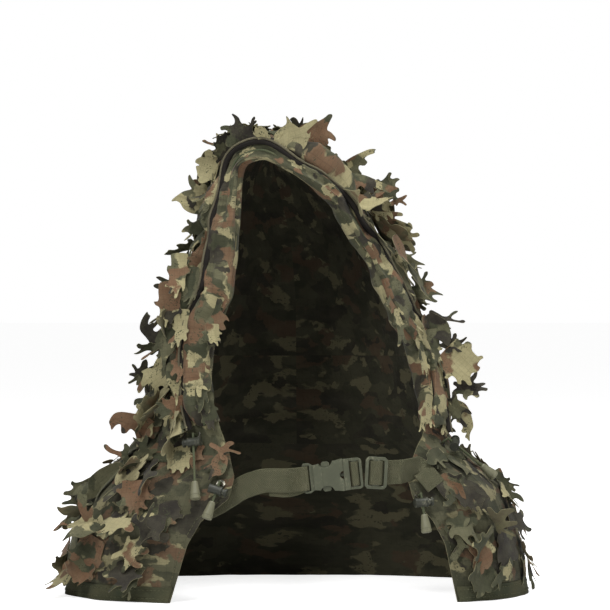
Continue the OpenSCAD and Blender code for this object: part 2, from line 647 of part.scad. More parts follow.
module cord_brow_left() cord(brow_left);
module cord_brow_right() cord(brow_right);
module cord_neck_left() cord(neck_left);
module cord_neck_right() cord(neck_right);
module bell_brow_left() bell(brow_left);
module bell_brow_right() bell(brow_right);
module bell_neck_left() bell(neck_left);
module bell_neck_right() bell(neck_right);
module lock_barrel_brow_left() lock_barrel(brow_left);
module lock_barrel_brow_right() lock_barrel(brow_right);
module lock_barrel_neck_left() lock_barrel(neck_left);
module lock_barrel_neck_right() lock_barrel(neck_right);
module lock_button_brow_left() lock_button(brow_left);
module lock_button_brow_right() lock_button(brow_right);
module lock_button_neck_left() lock_button(neck_left);
module lock_button_neck_right() lock_button(neck_right);
module lock_spring_brow_left() lock_spring(brow_left);
module lock_spring_brow_right() lock_spring(brow_right);
module lock_spring_neck_left() lock_spring(neck_left);
module lock_spring_neck_right() lock_spring(neck_right);

// ---------- output ----------
cape_left_front();
cape_right_front();
cape_back_panel();
hem_binding();
shoulder_tape_left();
shoulder_tape_right();
neck_tape();
cowl_left();
cowl_right();
hood_left_panel();
hood_right_panel();
crown_seam_tape();
nape_seam_tape();
face_tunnel();
face_tunnel_lower_left();
face_tunnel_lower_right();
brow_drawcord();
drawcord_run_left();
drawcord_run_right();
leaf_strips_cape_left();
leaf_strips_cape_right();
leaf_strips_cape_back();
leaf_strips_cowl_left();
leaf_strips_cowl_right();
leaf_strips_hood_left();
leaf_strips_hood_right();
leaf_strips_crown();
strap_web_left();
buckle_socket();
buckle_plug();
prong_upper();
prong_lower();
plug_web_wrap();
slider_bar_frame();
slider_web_wrap();
strap_web_right();
eyelets();
cord_exits();
cord_brow_left();
cord_brow_right();
cord_neck_left();
cord_neck_right();
bell_brow_left();
bell_brow_right();
bell_neck_left();
bell_neck_right();
lock_barrel_brow_left();
lock_barrel_brow_right();
lock_barrel_neck_left();
lock_barrel_neck_right();
lock_button_brow_left();
lock_button_brow_right();
lock_button_neck_left();
lock_button_neck_right();
lock_spring_brow_left();
lock_spring_brow_right();
lock_spring_neck_left();
lock_spring_neck_right();
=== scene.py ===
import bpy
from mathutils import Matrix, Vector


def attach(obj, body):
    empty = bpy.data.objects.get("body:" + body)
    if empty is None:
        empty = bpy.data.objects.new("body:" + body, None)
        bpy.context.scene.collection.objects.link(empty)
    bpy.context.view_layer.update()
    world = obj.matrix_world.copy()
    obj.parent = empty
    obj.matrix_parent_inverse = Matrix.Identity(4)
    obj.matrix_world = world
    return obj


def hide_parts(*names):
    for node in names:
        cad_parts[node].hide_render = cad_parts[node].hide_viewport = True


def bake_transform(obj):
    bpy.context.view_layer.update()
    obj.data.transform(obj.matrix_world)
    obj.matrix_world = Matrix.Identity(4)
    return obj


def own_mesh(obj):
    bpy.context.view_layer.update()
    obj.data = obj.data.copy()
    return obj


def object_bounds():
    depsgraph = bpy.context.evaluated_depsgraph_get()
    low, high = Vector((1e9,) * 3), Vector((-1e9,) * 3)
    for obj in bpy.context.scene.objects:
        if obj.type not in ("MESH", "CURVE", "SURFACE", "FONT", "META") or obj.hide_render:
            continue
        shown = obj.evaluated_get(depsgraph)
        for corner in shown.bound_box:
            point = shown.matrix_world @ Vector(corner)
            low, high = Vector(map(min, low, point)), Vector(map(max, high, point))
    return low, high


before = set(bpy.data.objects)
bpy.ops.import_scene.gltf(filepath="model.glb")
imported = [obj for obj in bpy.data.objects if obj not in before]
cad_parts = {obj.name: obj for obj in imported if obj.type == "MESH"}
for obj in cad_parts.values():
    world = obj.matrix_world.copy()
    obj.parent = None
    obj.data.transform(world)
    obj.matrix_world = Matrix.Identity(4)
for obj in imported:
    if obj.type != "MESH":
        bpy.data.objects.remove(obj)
import math
import bpy
import numpy as np
from mathutils import Vector
from mathutils.geometry import delaunay_2d_cdt

cad_box = [[float(c) for c in corner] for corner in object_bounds()]
MM = 0.001
rng = np.random.default_rng(20)

# ---------------------------------------------------------------- the draped form, in millimetres
T_A = [(0, 244), (40, 240), (84, 230), (112, 214), (130, 196), (141, 182), (150, 172), (160, 163), (172, 157), (207, 147), (259, 133), (312, 116), (364, 96), (405, 82), (435, 70), (458, 57), (472, 43), (480, 30), (485, 16), (488, 3)]
T_X = [(0, 0), (312, -2), (364, -6), (405, -12), (435, -18), (458, -23), (475, -27), (488, -30)]
T_F = [(0, 128), (40, 128), (84, 124), (112, 117), (130, 111), (150, 106), (172, 103), (364, 103), (405, 102), (435, 100), (458, 97), (475, 94), (484, 91), (488, 88)]
T_B = [(0, 146), (40, 146), (84, 142), (112, 137), (150, 126), (172, 119), (207, 117), (259, 122), (312, 126), (364, 125), (405, 120), (435, 112), (458, 102), (475, 88), (484, 74), (488, 60)]
T_G = [(0, 0), (364, 0), (405, 0.12), (435, 0.3), (458, 0.5), (475, 0.75), (488, 1)]
T_L = [(0, -130), (60, -112), (84, -98), (107, -70), (128, -64), (154, -70), (180, -79), (207, -87), (233, -89), (259, -88), (285, -83), (313, -67), (352, -63), (412, -60), (450, -58), (458, -54), (464, -36)]
T_R = [(0, 165), (60, 152), (84, 140), (107, 119), (128, 112), (154, 122), (180, 134), (207, 137), (233, 134), (259, 124), (285, 104), (313, 90), (352, 76), (372, 60), (412, 37), (435, 9), (450, -10), (458, -24), (464, -34)]
TOP = 464
POWER = 2.5
Y_MID = 15.5
NECK, BASE = 150.0, 250.0
CLOTH = 2.4


def tab(table, h):
    t = np.array(table, float)
    return np.interp(h, t[:, 0], t[:, 1])


def sp(v, p):
    return np.sign(v) * np.abs(v) ** p


def form(u, h):
    u, h = np.broadcast_arrays(np.asarray(u, float), np.asarray(h, float))
    c, s = np.cos(np.radians(u)), np.sin(np.radians(u))
    y = np.where(c > 0, -tab(T_F, h) * sp(c, 2 / POWER), -tab(T_B, h) * sp(c, 2 / POWER))
    z = h - tab(T_G, h) * 0.0016 * (y + 25) ** 2 * np.where(y > -25, 1.15, 0.9)
    return np.stack([tab(T_X, h) + tab(T_A, h) * sp(s, 2 / POWER), y - Y_MID, z], -1)


def unit(v):
    return v / np.maximum(np.linalg.norm(v, axis=-1, keepdims=True), 1e-9)


def normal(u, h):
    u, h = np.broadcast_arrays(np.asarray(u, float), np.asarray(h, float))
    du = form(u + 1.5, h) - form(u - 1.5, h)
    dh = form(u, np.minimum(h + 3, 488)) - form(u, np.maximum(h - 3, 0))
    n = unit(np.cross(du, dh))
    low = (h <= 3)[..., None]
    return np.where(low, unit(n * np.array([1, 1, 0])), n)


def u_of(x, h):
    r = (x - tab(T_X, h)) / tab(T_A, h)
    return np.degrees(np.arcsin(np.clip(sp(r, POWER / 2), -0.9995, 0.9995)))


def u_left(h):
    return np.where(h >= TOP, -0.25, u_of(tab(T_L, h), h))


def u_right(h):
    return np.where(h >= TOP, 0.25, u_of(tab(T_R, h), h))


# ---------------------------------------------------------------- noise
def hashed(i, j, k, seed):
    n = (i * 73856093) ^ (j * 19349663) ^ (k * 83492791) ^ (seed * 2654435761)
    n = (n ^ (n >> 13)) & 0xFFFFFFFF
    n = (n * 1274126177) & 0xFFFFFFFF
    n = (n ^ (n >> 16)) & 0xFFFFFFFF
    return (n & 0xFFFF) / 65535.0


def vnoise(p, seed=0):
    p = np.asarray(p, float)
    b = np.floor(p).astype(np.int64)
    f = p - b
    f = f * f * (3 - 2 * f)
    out = 0
    for dx in (0, 1):
        for dy in (0, 1):
            for dz in (0, 1):
                w = (f[..., 0] if dx else 1 - f[..., 0]) * (f[..., 1] if dy else 1 - f[..., 1]) * (f[..., 2] if dz else 1 - f[..., 2])
                out = out + w * hashed(b[..., 0] + dx, b[..., 1] + dy, b[..., 2] + dz, seed)
    return out * 2 - 1


def fbm(p, seed=0, octaves=3):
    out, amp = 0, 1.0
    for o in range(octaves):
        out = out + amp * vnoise(np.asarray(p) * 2**o, seed + 17 * o)
        amp *= 0.5
    return out / 1.75


def wrinkle(u, h):
    """Folds of the draped cloth, in millimetres outward, the same for every panel so that seams stay closed."""
    q = form(u, h)
    h = np.broadcast_to(h, q.shape[:-1])
    long_folds = fbm(q / np.array([26, 26, 110]), 3, 2)
    cross_folds = fbm(q / np.array([60, 60, 17]), 9, 2)
    small = fbm(q / 13, 5, 2)
    neck = np.exp(-(((h - 185) / 55) ** 2))
    top = np.clip((488 - h) / 60, 0.15, 1)
    ridge = 1 - np.abs(fbm(q / np.array([38, 38, 70]), 21, 2)) * 2
    folds = top * (3.0 * long_folds + (1.0 + 3.4 * neck) * cross_folds + 0.9 * small + 1.6 * ridge)
    # the cloth lies flatter where the left cord tail swings over it
    flat = 1 - 0.9 * np.exp(-((q[..., 0] + 126) ** 2 + (h - 108) ** 2) / 900.0) * (q[..., 1] < -10)
    return np.where(folds > 0, folds * flat, folds) + 0.8


# ---------------------------------------------------------------- materials
def new_mat(name):
    m = bpy.data.materials.new(name)
    m.use_nodes = True
    nt = m.node_tree
    nt.nodes.clear()
    out = nt.nodes.new("ShaderNodeOutputMaterial")
    bsdf = nt.nodes.new("ShaderNodeBsdfPrincipled")
    nt.links.new(bsdf.outputs[0], out.inputs[0])
    return m, nt, bsdf


class G:
    """Small helper that builds shader nodes."""

    def __init__(self, nt):
        self.nt = nt

    def node(self, kind, **kw):
        n = self.nt.nodes.new(kind)
        for k, v in kw.items():
            setattr(n, k, v)
        return n

    def put(self, socket, value):
        if isinstance(value, bpy.types.NodeSocket):
            self.nt.links.new(value, socket)
        elif value is not None:
            socket.default_value = value

    def math(self, op, a, b=None, c=None):
        n = self.node("ShaderNodeMath", operation=op)
        for i, v in enumerate((a, b, c)):
            self.put(n.inputs[i], v)
        return n.outputs[0]

    def vec(self, op, a, b=None, scale=None):
        n = self.node("ShaderNodeVectorMath", operation=op)
        self.put(n.inputs[0], a)
        if b is not None:
            self.put(n.inputs[1], b)
        if scale is not None:
            self.put(n.inputs["Scale"], scale)
        return n.outputs["Value"] if op in ("LENGTH", "DOT_PRODUCT") else n.outputs[0]

    def mix(self, fac, a, b, mode="MIX"):
        n = self.node("ShaderNodeMix", data_type="RGBA", blend_type=mode)
        self.put(n.inputs[0], fac)
        self.put(n.inputs[6], a)
        self.put(n.inputs[7], b)
        return n.outputs[2]

    def noise(self, vector, scale, detail=2.0, rough=0.5, color=False, w=None):
        n = self.node("ShaderNodeTexNoise")
        if w is not None:
            n.noise_dimensions = "4D"
            self.put(n.inputs["W"], w)
        self.put(n.inputs["Vector"], vector)
        self.put(n.inputs["Scale"], scale)
        self.put(n.inputs["Detail"], detail)
        self.put(n.inputs["Roughness"], rough)
        return n.outputs["Color" if color else "Fac"]

    def voronoi(self, vector, scale, feature="F1", out="Distance"):
        n = self.node("ShaderNodeTexVoronoi", feature=feature)
        self.put(n.inputs["Vector"], vector)
        self.put(n.inputs["Scale"], scale)
        return n.outputs[out]

    def attr(self, name, out="Vector"):
        return self.node("ShaderNodeAttribute", attribute_name=name).outputs[out]

    def range(self, v, a, b, c, d):
        n = self.node("ShaderNodeMapRange")
        for i, x in enumerate((v, a, b, c, d)):
            self.put(n.inputs[i], x)
        return n.outputs[0]

    def bump(self, height, strength, distance=0.001, normal=None):
        n = self.node("ShaderNodeBump")
        self.put(n.inputs["Strength"], strength)
        self.put(n.inputs["Distance"], distance)
        self.put(n.inputs["Height"], height)
        if normal is not None:
            self.put(n.inputs["Normal"], normal)
        return n.outputs[0]


def srgb(r, g, b):
    f = lambda v: (v / 255) / 12.92 if v / 255 <= 0.04045 else ((v / 255 + 0.055) / 1.055) ** 2.4
    return (f(r), f(g), f(b), 1.0)


C_MID = srgb(88, 87, 64)
C_GREEN = srgb(55, 58, 40)
C_BROWN = srgb(110, 82, 60)
C_STRAW = srgb(160, 152, 114)
C_BLACK = srgb(38, 34, 30)
C_PALE = srgb(138, 130, 96)


def camo(name, reverse=0.0, dark=1.0, rip=1.0, rough=0.86, freq=1.5, calm=0.0):
    """Five-colour dotted woodland print on ripstop cloth. Coordinates come from the pat attribute, in millimetres;
    the tint attribute leans a leaf towards straw (x), brown (y) or black (z)."""
    m, nt, bsdf = new_mat(name)
    g = G(nt)
    pat, tint = g.attr("pat"), g.attr("tint")
    sep = g.node("ShaderNodeSeparateXYZ")
    g.put(sep.inputs[0], tint)
    warp = g.vec("SUBTRACT", g.noise(pat, 0.08, 2.0, 0.55, color=True), (0.5, 0.5, 0.5))
    p1 = g.vec("ADD", pat, g.vec("SCALE", warp, scale=14.0))
    cell = g.voronoi(p1, 0.40, out="Position")
    mixv = g.node("ShaderNodeMix", data_type="VECTOR")
    g.put(mixv.inputs[0], 0.55)
    g.put(mixv.inputs[4], p1)
    g.put(mixv.inputs[5], cell)
    p2 = mixv.outputs[1]
    n_green = g.noise(p2, 0.030 * freq, 1.2, 0.5)
    n_brown = g.noise(g.vec("ADD", p2, (310.0, 170.0, 40.0)), 0.026 * freq, 1.0, 0.5)
    n_straw = g.noise(g.vec("ADD", p2, (-120.0, 420.0, 90.0)), 0.034 * freq, 1.4, 0.5)
    n_black = g.noise(g.vec("ADD", p2, (55.0, -260.0, 200.0)), 0.032 * freq, 1.4, 0.5)
    soft = lambda v, t, w=0.010: g.range(v, t - w, t + w, 0.0, 1.0)
    col = g.mix(soft(n_green, 0.485, 0.016), C_MID, C_GREEN)
    col = g.mix(soft(g.math("ADD", n_straw, sep.outputs[0]), 0.585, 0.013), col, C_STRAW)
    col = g.mix(soft(g.math("ADD", n_brown, sep.outputs[1]), 0.575), col, C_BROWN)
    col = g.mix(soft(g.math("ADD", n_black, sep.outputs[2]), 0.60), col, C_BLACK)
    # dots that break up the edges of the print
    dots = g.voronoi(p1, 0.42, out="Distance")
    near = g.noise(g.vec("ADD", p2, (77.0, 31.0, -12.0)), 0.07, 1.0, 0.5)
    dot = g.math("MULTIPLY", g.math("LESS_THAN", dots, 0.33), g.math("GREATER_THAN", near, 0.57))
    col = g.mix(g.math("MULTIPLY", dot, 0.85), col, C_GREEN)
    if calm:
        col = g.mix(calm, col, srgb(58, 56, 42))
    # print wear, dust and uneven dye
    blotch = g.noise(pat, 0.05, 3.0, 0.6)
    grain = g.noise(pat, 1.1, 2.0, 0.6)
    col = g.mix(g.range(blotch, 0.35, 0.75, 0.04, 0.30), col, srgb(112, 108, 86))
    tone = g.math("MULTIPLY", g.range(grain, 0.2, 0.8, 0.86, 1.12), g.range(blotch, 0.2, 0.8, 0.9, 1.08))
    if reverse:
        col = g.mix(reverse, col, C_PALE)
    # ripstop grid
    sx = g.node("ShaderNodeSeparateXYZ")
    g.put(sx.inputs[0], pat)
    lines = []
    for axis in (0, 1):
        fr = g.math("FRACT", g.math("DIVIDE", sx.outputs[axis], 5.2))
        lines.append(g.math("GREATER_THAN", g.math("ABSOLUTE", g.math("SUBTRACT", fr, 0.5)), 0.44))
    grid = g.math("MAXIMUM", lines[0], lines[1])
    tone = g.math("MULTIPLY", tone, g.math("ADD", 1.0, g.math("MULTIPLY", grid, -0.13 * rip)))
    tone = g.math("MULTIPLY", tone, dark)
    scaled = g.vec("SCALE", col, scale=tone)
    g.put(bsdf.inputs["Base Color"], scaled)
    g.put(bsdf.inputs["Roughness"], g.range(grain, 0.2, 0.8, rough - 0.1, rough + 0.08))
    bsdf.inputs["Specular IOR Level"].default_value = 0.25
    bsdf.inputs["Sheen Weight"].default_value = 0.06
    bsdf.inputs["Sheen Roughness"].default_value = 0.5
    # weave, grid and creases
    w1 = g.math("SINE", g.math("MULTIPLY", sx.outputs[0], 7.4))
    w2 = g.math("SINE", g.math("MULTIPLY", sx.outputs[1], 7.4))
    weave = g.math("MULTIPLY", w1, w2)
    crease = g.noise(g.vec("MULTIPLY", pat, (0.16, 0.07, 0.1)), 1.0, 3.0, 0.6)
    height = g.math("ADD", g.math("MULTIPLY", grid, 0.20), g.math("ADD", g.math("MULTIPLY", weave, 0.05), g.math("MULTIPLY", crease, 2.4)))
    g.put(bsdf.inputs["Normal"], g.bump(height, 0.55, 0.001))
    return m


def plain_cloth(name, color, vary=0.2, scale=0.5, rough=0.9, wash=None):
    m, nt, bsdf = new_mat(name)
    g = G(nt)
    pat = g.attr("pat")
    n = g.noise(pat, scale, 3.0, 0.6)
    big = g.noise(pat, 0.04, 2.0, 0.5)
    g.put(bsdf.inputs["Base Color"], g.vec("SCALE", g.mix(g.range(big, 0.3, 0.7, 0.0, 0.35), color, wash or srgb(96, 88, 62)), scale=g.range(n, 0.25, 0.75, 1 - vary, 1 + vary)))
    g.put(bsdf.inputs["Roughness"], g.range(n, 0.2, 0.8, rough - 0.08, rough + 0.06))
    bsdf.inputs["Specular IOR Level"].default_value = 0.25
    g.put(bsdf.inputs["Normal"], g.bump(n, 0.5, 0.0006))
    return m


def webbing_mat(name, color):
    """Ribbed webbing: pat x runs across the webbing, pat y along it, in millimetres."""
    m, nt, bsdf = new_mat(name)
    g = G(nt)
    pat = g.attr("pat")
    sx = g.node("ShaderNodeSeparateXYZ")
    g.put(sx.inputs[0], pat)
    rib = g.math("SINE", g.math("MULTIPLY", sx.outputs[1], 5.2))
    row = g.math("ABSOLUTE", g.math("SINE", g.math("MULTIPLY", sx.outputs[0], 2.3)))
    diag = g.math("SINE", g.math("MULTIPLY", g.math("ADD", sx.outputs[1], g.math("MULTIPLY", g.math("PINGPONG", sx.outputs[0], 3.1), 1.1)), 2.9))
    n = g.noise(pat, 0.9, 3.0, 0.6)
    big = g.noise(pat, 0.06, 2.0, 0.6)
    shade = g.math("ADD", g.math("MULTIPLY", diag, 0.17), g.math("MULTIPLY", row, 0.16))
    tone = g.math("MULTIPLY", g.math("ADD", 0.92, shade), g.range(n, 0.2, 0.8, 0.82, 1.15))
    g.put(bsdf.inputs["Base Color"], g.vec("SCALE", g.mix(g.range(big, 0.35, 0.7, 0.0, 0.3), color, srgb(112, 108, 84)), scale=tone))
    g.put(bsdf.inputs["Roughness"], g.range(n, 0.2, 0.8, 0.72, 0.9))
    bsdf.inputs["Specular IOR Level"].default_value = 0.3
    height = g.math("ADD", g.math("MULTIPLY", diag, 0.5), g.math("ADD", g.math("MULTIPLY", row, 0.9), g.math("MULTIPLY", rib, 0.25)))
    g.put(bsdf.inputs["Normal"], g.bump(height, 0.9, 0.0006))
    return m


def resin_mat(name, color, rough=0.52):
    m, nt, bsdf = new_mat(name)
    g = G(nt)
    co = g.node("ShaderNodeTexCoord").outputs["Object"]
    fine = g.noise(co, 2600.0, 3.0, 0.6)
    big = g.noise(co, 70.0, 4.0, 0.6)
    scratch = g.noise(g.vec("MULTIPLY", co, (900.0, 120.0, 260.0)), 1.0, 2.0, 0.6)
    worn = g.range(g.math("MULTIPLY", big, scratch), 0.30, 0.42, 0.0, 0.5)
    g.put(bsdf.inputs["Base Color"], g.vec("SCALE", g.mix(worn, color, srgb(132, 130, 108)), scale=g.range(big, 0.3, 0.7, 0.88, 1.1)))
    g.put(bsdf.inputs["Roughness"], g.range(fine, 0.3, 0.7, rough - 0.1, rough + 0.14))
    bsdf.inputs["Specular IOR Level"].default_value = 0.42
    g.put(bsdf.inputs["Normal"], g.bump(g.math("ADD", fine, g.math("MULTIPLY", scratch, 0.5)), 0.35, 0.00012))
    return m


def metal_mat(name, color, rough=0.4, metallic=0.8):
    m, nt, bsdf = new_mat(name)
    g = G(nt)
    co = g.node("ShaderNodeTexCoord").outputs["Object"]
    big = g.noise(co, 320.0, 4.0, 0.65)
    worn = g.range(big, 0.48, 0.62, 0.0, 1.0)
    g.put(bsdf.inputs["Base Color"], g.mix(worn, color, srgb(168, 164, 150)))
    g.put(bsdf.inputs["Roughness"], g.range(big, 0.3, 0.7, rough + 0.15, rough - 0.12))
    bsdf.inputs["Metallic"].default_value = metallic
    g.put(bsdf.inputs["Normal"], g.bump(big, 0.3, 0.0002))
    return m


M_OUT = camo("camo_cloth")
M_CAPE = camo("camo_cape_cloth", dark=0.86, calm=0.28)
M_LEAF = camo("camo_leaf_face", freq=1.05)
M_BACK = camo("camo_leaf_reverse", reverse=0.38, dark=0.92, rip=0.6, rough=0.9, freq=1.05)
# the lining is darkened (dark=0.5) and muted towards dark olive (calm=0.55): painted shade for the inside of the hood,
# which stands in shadow
M_LINING_PAINTED_SHADE = camo("camo_lining_painted_shade", reverse=0.0, dark=0.5, rip=0.4, rough=0.92, freq=1.3, calm=0.55)
M_EDGE = plain_cloth("cut_edge", srgb(132, 128, 98), 0.25, 1.2)
# near-black binding: a real rolled seam edge whose colour is darkened to stand for the groove beside it, painted shadow
M_BIND_PAINTED_SHADOW = plain_cloth("seam_binding_painted_shadow", srgb(27, 24, 21), 0.3, 0.8, 0.95, srgb(40, 36, 30))
# light piping: a thin real edge whose lighter colour is partly a painted highlight along the rolled edge
M_PIPE_PAINTED_HIGHLIGHT = plain_cloth("seam_piping_painted_highlight", srgb(98, 93, 74), 0.3, 0.8, 0.85, srgb(70, 66, 52))
M_TAPE = plain_cloth("seam_tape", srgb(58, 62, 46), 0.2, 0.7)
M_THREAD = plain_cloth("stitch_thread", srgb(84, 86, 64), 0.15, 2.0, 0.8)
M_WEB = webbing_mat("strap_webbing", srgb(84, 84, 62))
M_CORD = plain_cloth("braided_cord", srgb(74, 82, 60), 0.25, 1.4, 0.75)
M_RESIN = resin_mat("buckle_resin", srgb(78, 81, 63))
M_LOCK = resin_mat("lock_resin", srgb(47, 49, 39), 0.5)
M_BELL = resin_mat("bell_resin", srgb(110, 109, 86), 0.5)
M_METAL = metal_mat("eyelet_metal", srgb(62, 62, 52))
M_SPRING = metal_mat("spring_steel", srgb(150, 150, 148), 0.3, 1.0)


# ---------------------------------------------------------------- mesh helpers
def add_obj(name, V, F, mats, fmat=None, pat=None, tint=None, sharp=50):
    me = bpy.data.meshes.new(name)
    V = np.asarray(V, float)
    me.from_pydata((V * MM).tolist(), [], F.tolist() if isinstance(F, np.ndarray) else F)
    for m in mats:
        me.materials.append(m)
    if fmat is not None:
        me.polygons.foreach_set("material_index", np.asarray(fmat, np.int32))
    for key, data in (("pat", pat), ("tint", tint)):
        data = np.zeros((len(V), 3)) if data is None else np.broadcast_to(np.asarray(data, float), (len(V), 3))
        a = me.attributes.new(key, "FLOAT_VECTOR", "POINT")
        a.data.foreach_set("vector", np.ascontiguousarray(data, np.float32).ravel())
    me.validate(clean_customdata=False)
    me.shade_smooth()
    me.set_sharp_from_angle(angle=math.radians(sharp))
    me.update()
    o = bpy.data.objects.new(name, me)
    bpy.context.scene.collection.objects.link(o)
    return o


def shell_faces(m, n):
    """Faces of a closed sheet of m by n points: outer grid first, then the inner grid. Returns faces and a part index (0 outer, 1 inner, 2 rim)."""
    i, j = np.meshgrid(np.arange(m - 1), np.arange(n - 1), indexing="ij")
    a, b, c, d = i * n + j, i * n + j + 1, (i + 1) * n + j + 1, (i + 1) * n + j
    k = m * n
    outer = np.stack([a, b, c, d], -1).reshape(-1, 4)
    inner = np.stack([k + a, k + d, k + c, k + b], -1).reshape(-1, 4)
    ring = np.concatenate([np.arange(n), np.arange(1, m) * n + n - 1, (m - 1) * n + np.arange(n - 2, -1, -1), np.arange(m - 2, 0, -1) * n])
    nxt = np.roll(ring, -1)
    rim = np.stack([nxt, ring, k + ring, k + nxt], -1)
    return np.concatenate([outer, inner, rim]), np.concatenate([np.zeros(len(outer), int), np.ones(len(inner), int), np.full(len(rim), 2)])


def tube_faces(m, n, closed_ends=True):
    i, j = np.meshgrid(np.arange(m - 1), np.arange(n), indexing="ij")
    j2 = (j + 1) % n
    F = np.stack([i * n + j, i * n + j2, (i + 1) * n + j2, (i + 1) * n + j], -1).reshape(-1, 4).tolist()
    if closed_ends:
        F.append(list(range(n - 1, -1, -1)))
        F.append([(m - 1) * n + q for q in range(n)])
    return F


class Batch:
    """Collects many small closed solids into one piece."""

    def __init__(self):
        self.V, self.F, self.M, self.P, self.T, self.k = [], [], [], [], [], 0

    def add(self, V, F, M, P, T):
        self.V.append(V)
        self.F += [[i + self.k for i in f] for f in (F.tolist() if isinstance(F, np.ndarray) else F)]
        self.M += list(M)
        self.P.append(np.broadcast_to(P, (len(V), 3)))
        self.T.append(np.broadcast_to(np.asarray(T, float), (len(V), 3)))
        self.k += len(V)

    def build(self, name, mats, slot, sharp=50):
        return add_obj(name, np.concatenate(self.V), self.F, mats, self.M, np.concatenate(self.P), np.concatenate(self.T), sharp)


# ---------------------------------------------------------------- cloth panels
def panel(name, H, u_a, u_b, n, seed, mats=None, lo=0.0, hi=1.3, wr=1.0, extra=None):
    H = np.asarray(H, float)
    U = np.stack([np.linspace(float(u_a(h)), float(u_b(h)), n) for h in H])
    HH = np.repeat(H[:, None], n, 1)
    base, nn = form(U, HH), normal(U, HH)
    w = wr * wrinkle(U, HH)
    if extra is not None:
        w = w + extra(U, HH)
    outer = base + nn * (w + hi)[..., None]
    inner = base + nn * (w + lo)[..., None]
    outer[..., 2] = np.maximum(outer[..., 2], 0.0)
    inner[..., 2] = np.maximum(inner[..., 2], 0.0)
    V = np.concatenate([outer.reshape(-1, 3), inner.reshape(-1, 3)])
    F, part = shell_faces(len(H), n)
    pat = np.stack([U / 180 * math.pi * 125, HH, np.full_like(HH, seed * 37.0)], -1).reshape(-1, 3)
    mats = mats or [M_OUT, M_LINING_PAINTED_SHADE, M_EDGE]
    return add_obj(name, V, F, mats, part if len(mats) > 1 else None, np.concatenate([pat, pat]), (0.0, 0.0, 0.02))


def levels(a, b, step):
    return np.linspace(a, b, max(2, int(round((b - a) / step)) + 1))


Hc = levels(0, NECK, 4.0)
fine = 3.6
p = panel("cape_left_front_cloth", Hc, lambda h: -92, u_left, 64, 1, [M_CAPE, M_LINING_PAINTED_SHADE, M_EDGE])
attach(p, "cape"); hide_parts("cape_left_front")
p = panel("cape_right_front_cloth", Hc, u_right, lambda h: 92, 56, 2, [M_CAPE, M_LINING_PAINTED_SHADE, M_EDGE])
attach(p, "cape"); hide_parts("cape_right_front")
p = panel("cape_back_cloth", Hc, lambda h: 92, lambda h: 268, 150, 3, [M_CAPE, M_LINING_PAINTED_SHADE, M_EDGE])
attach(p, "cape"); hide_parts("cape_back_panel")
Hw = levels(NECK, BASE, 3.6)
p = panel("cowl_left_cloth", Hw, lambda h: -180, u_left, 110, 4)
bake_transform(p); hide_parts("cowl_left")
p = panel("cowl_right_cloth", Hw, u_right, lambda h: 180, 110, 5)
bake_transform(p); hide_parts("cowl_right")
Hh = np.concatenate([levels(BASE, 440, 4.0), levels(443, 470, 2.6), [473, 476, 478.5, 480.5, 482.5, 484, 485.5, 486.7, 487.5]])
p = panel("hood_left_cloth", Hh, lambda h: -180, u_left, 104, 6)
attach(p, "hood"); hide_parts("hood_left_panel")
p = panel("hood_right_cloth", Hh, u_right, lambda h: 180, 104, 7)
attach(p, "hood"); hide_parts("hood_right_panel")

# seam tapes and the hem binding follow the folded cloth and sit on it
p = panel("hem_binding_cloth", levels(0, 16, 3.2), lambda h: u_right(h) + 0.6, lambda h: 360 + u_left(h) - 0.6, 260, 8, [M_TAPE], 1.4, 2.6)
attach(p, "cape"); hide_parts("hem_binding")
p = panel("neck_tape_cloth", levels(141, 149.4, 2.8), lambda h: u_right(h) + 18, lambda h: 360 + u_left(h) - 16, 240, 9, [M_TAPE], 1.4, 2.5)
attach(p, "cape"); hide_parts("neck_tape")
p = panel("shoulder_tape_right_cloth", levels(17, 140.5, 3.6), lambda h: 89.6, lambda h: 94.6, 6, 10, [M_TAPE], 1.4, 2.5)
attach(p, "cape"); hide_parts("shoulder_tape_right")
p = panel("shoulder_tape_left_cloth", levels(17, 140.5, 3.6), lambda h: 265.4, lambda h: 270.4, 6, 11, [M_TAPE], 1.4, 2.5)
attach(p, "cape"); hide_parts("shoulder_tape_left")
p = panel("nape_tape_cloth", levels(252, 466, 3.6), lambda h: 176, lambda h: 184, 8, 12, [M_TAPE], 1.4, 2.5)
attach(p, "hood"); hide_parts("nape_seam_tape")


def crown_tape():
    us = np.linspace(14, 166, 70)
    rows = []
    for k in np.linspace(-1, 1, 9):
        h = 488 - 3.2 * abs(k)
        u = us if k >= 0 else -us
        hh = np.full_like(us, h)
        q = form(u, hh)
        q[:, 0] = np.where(abs(k) < 0.2, -30.0, q[:, 0])
        n = unit(normal(u, hh) + np.array([0, 0, 0.6]))
        rows.append((q, n, wrinkle(u, hh)))
    outer = np.stack([q + n * (w + 3.0)[:, None] for q, n, w in rows], 1)
    inner = np.stack([q + n * (w + 1.8)[:, None] for q, n, w in rows], 1)
    V = np.concatenate([outer.reshape(-1, 3), inner.reshape(-1, 3)])
    F, part = shell_faces(len(us), 9)
    o = add_obj("crown_tape_cloth", V, F, [M_TAPE], None, V * 1.0)
    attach(o, "hood"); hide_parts("crown_seam_tape")


crown_tape()


# ---------------------------------------------------------------- face tunnel
def edge_path():
    pts = [(float(u_left(h)), h) for h in np.arange(186, 456, 2.0)]
    pts += [(float(u_left(h)), h) for h in (457, 459, 461)]
    pts += [(float(u_left(463)) * (1 - k) + float(u_right(463)) * k, 463.3) for k in (0.2, 0.5, 0.8)]
    pts += [(float(u_right(h)), h) for h in (461, 459, 457)]
    pts += [(float(u_right(h)), h) for h in np.arange(455, 181, -2.0)]
    return np.array(pts)


def smooth(a, times):
    for _ in range(times):
        b = a.copy()
        b[1:-1] = (a[:-2] + 2 * a[1:-1] + a[2:]) / 4
        a = b
    return a


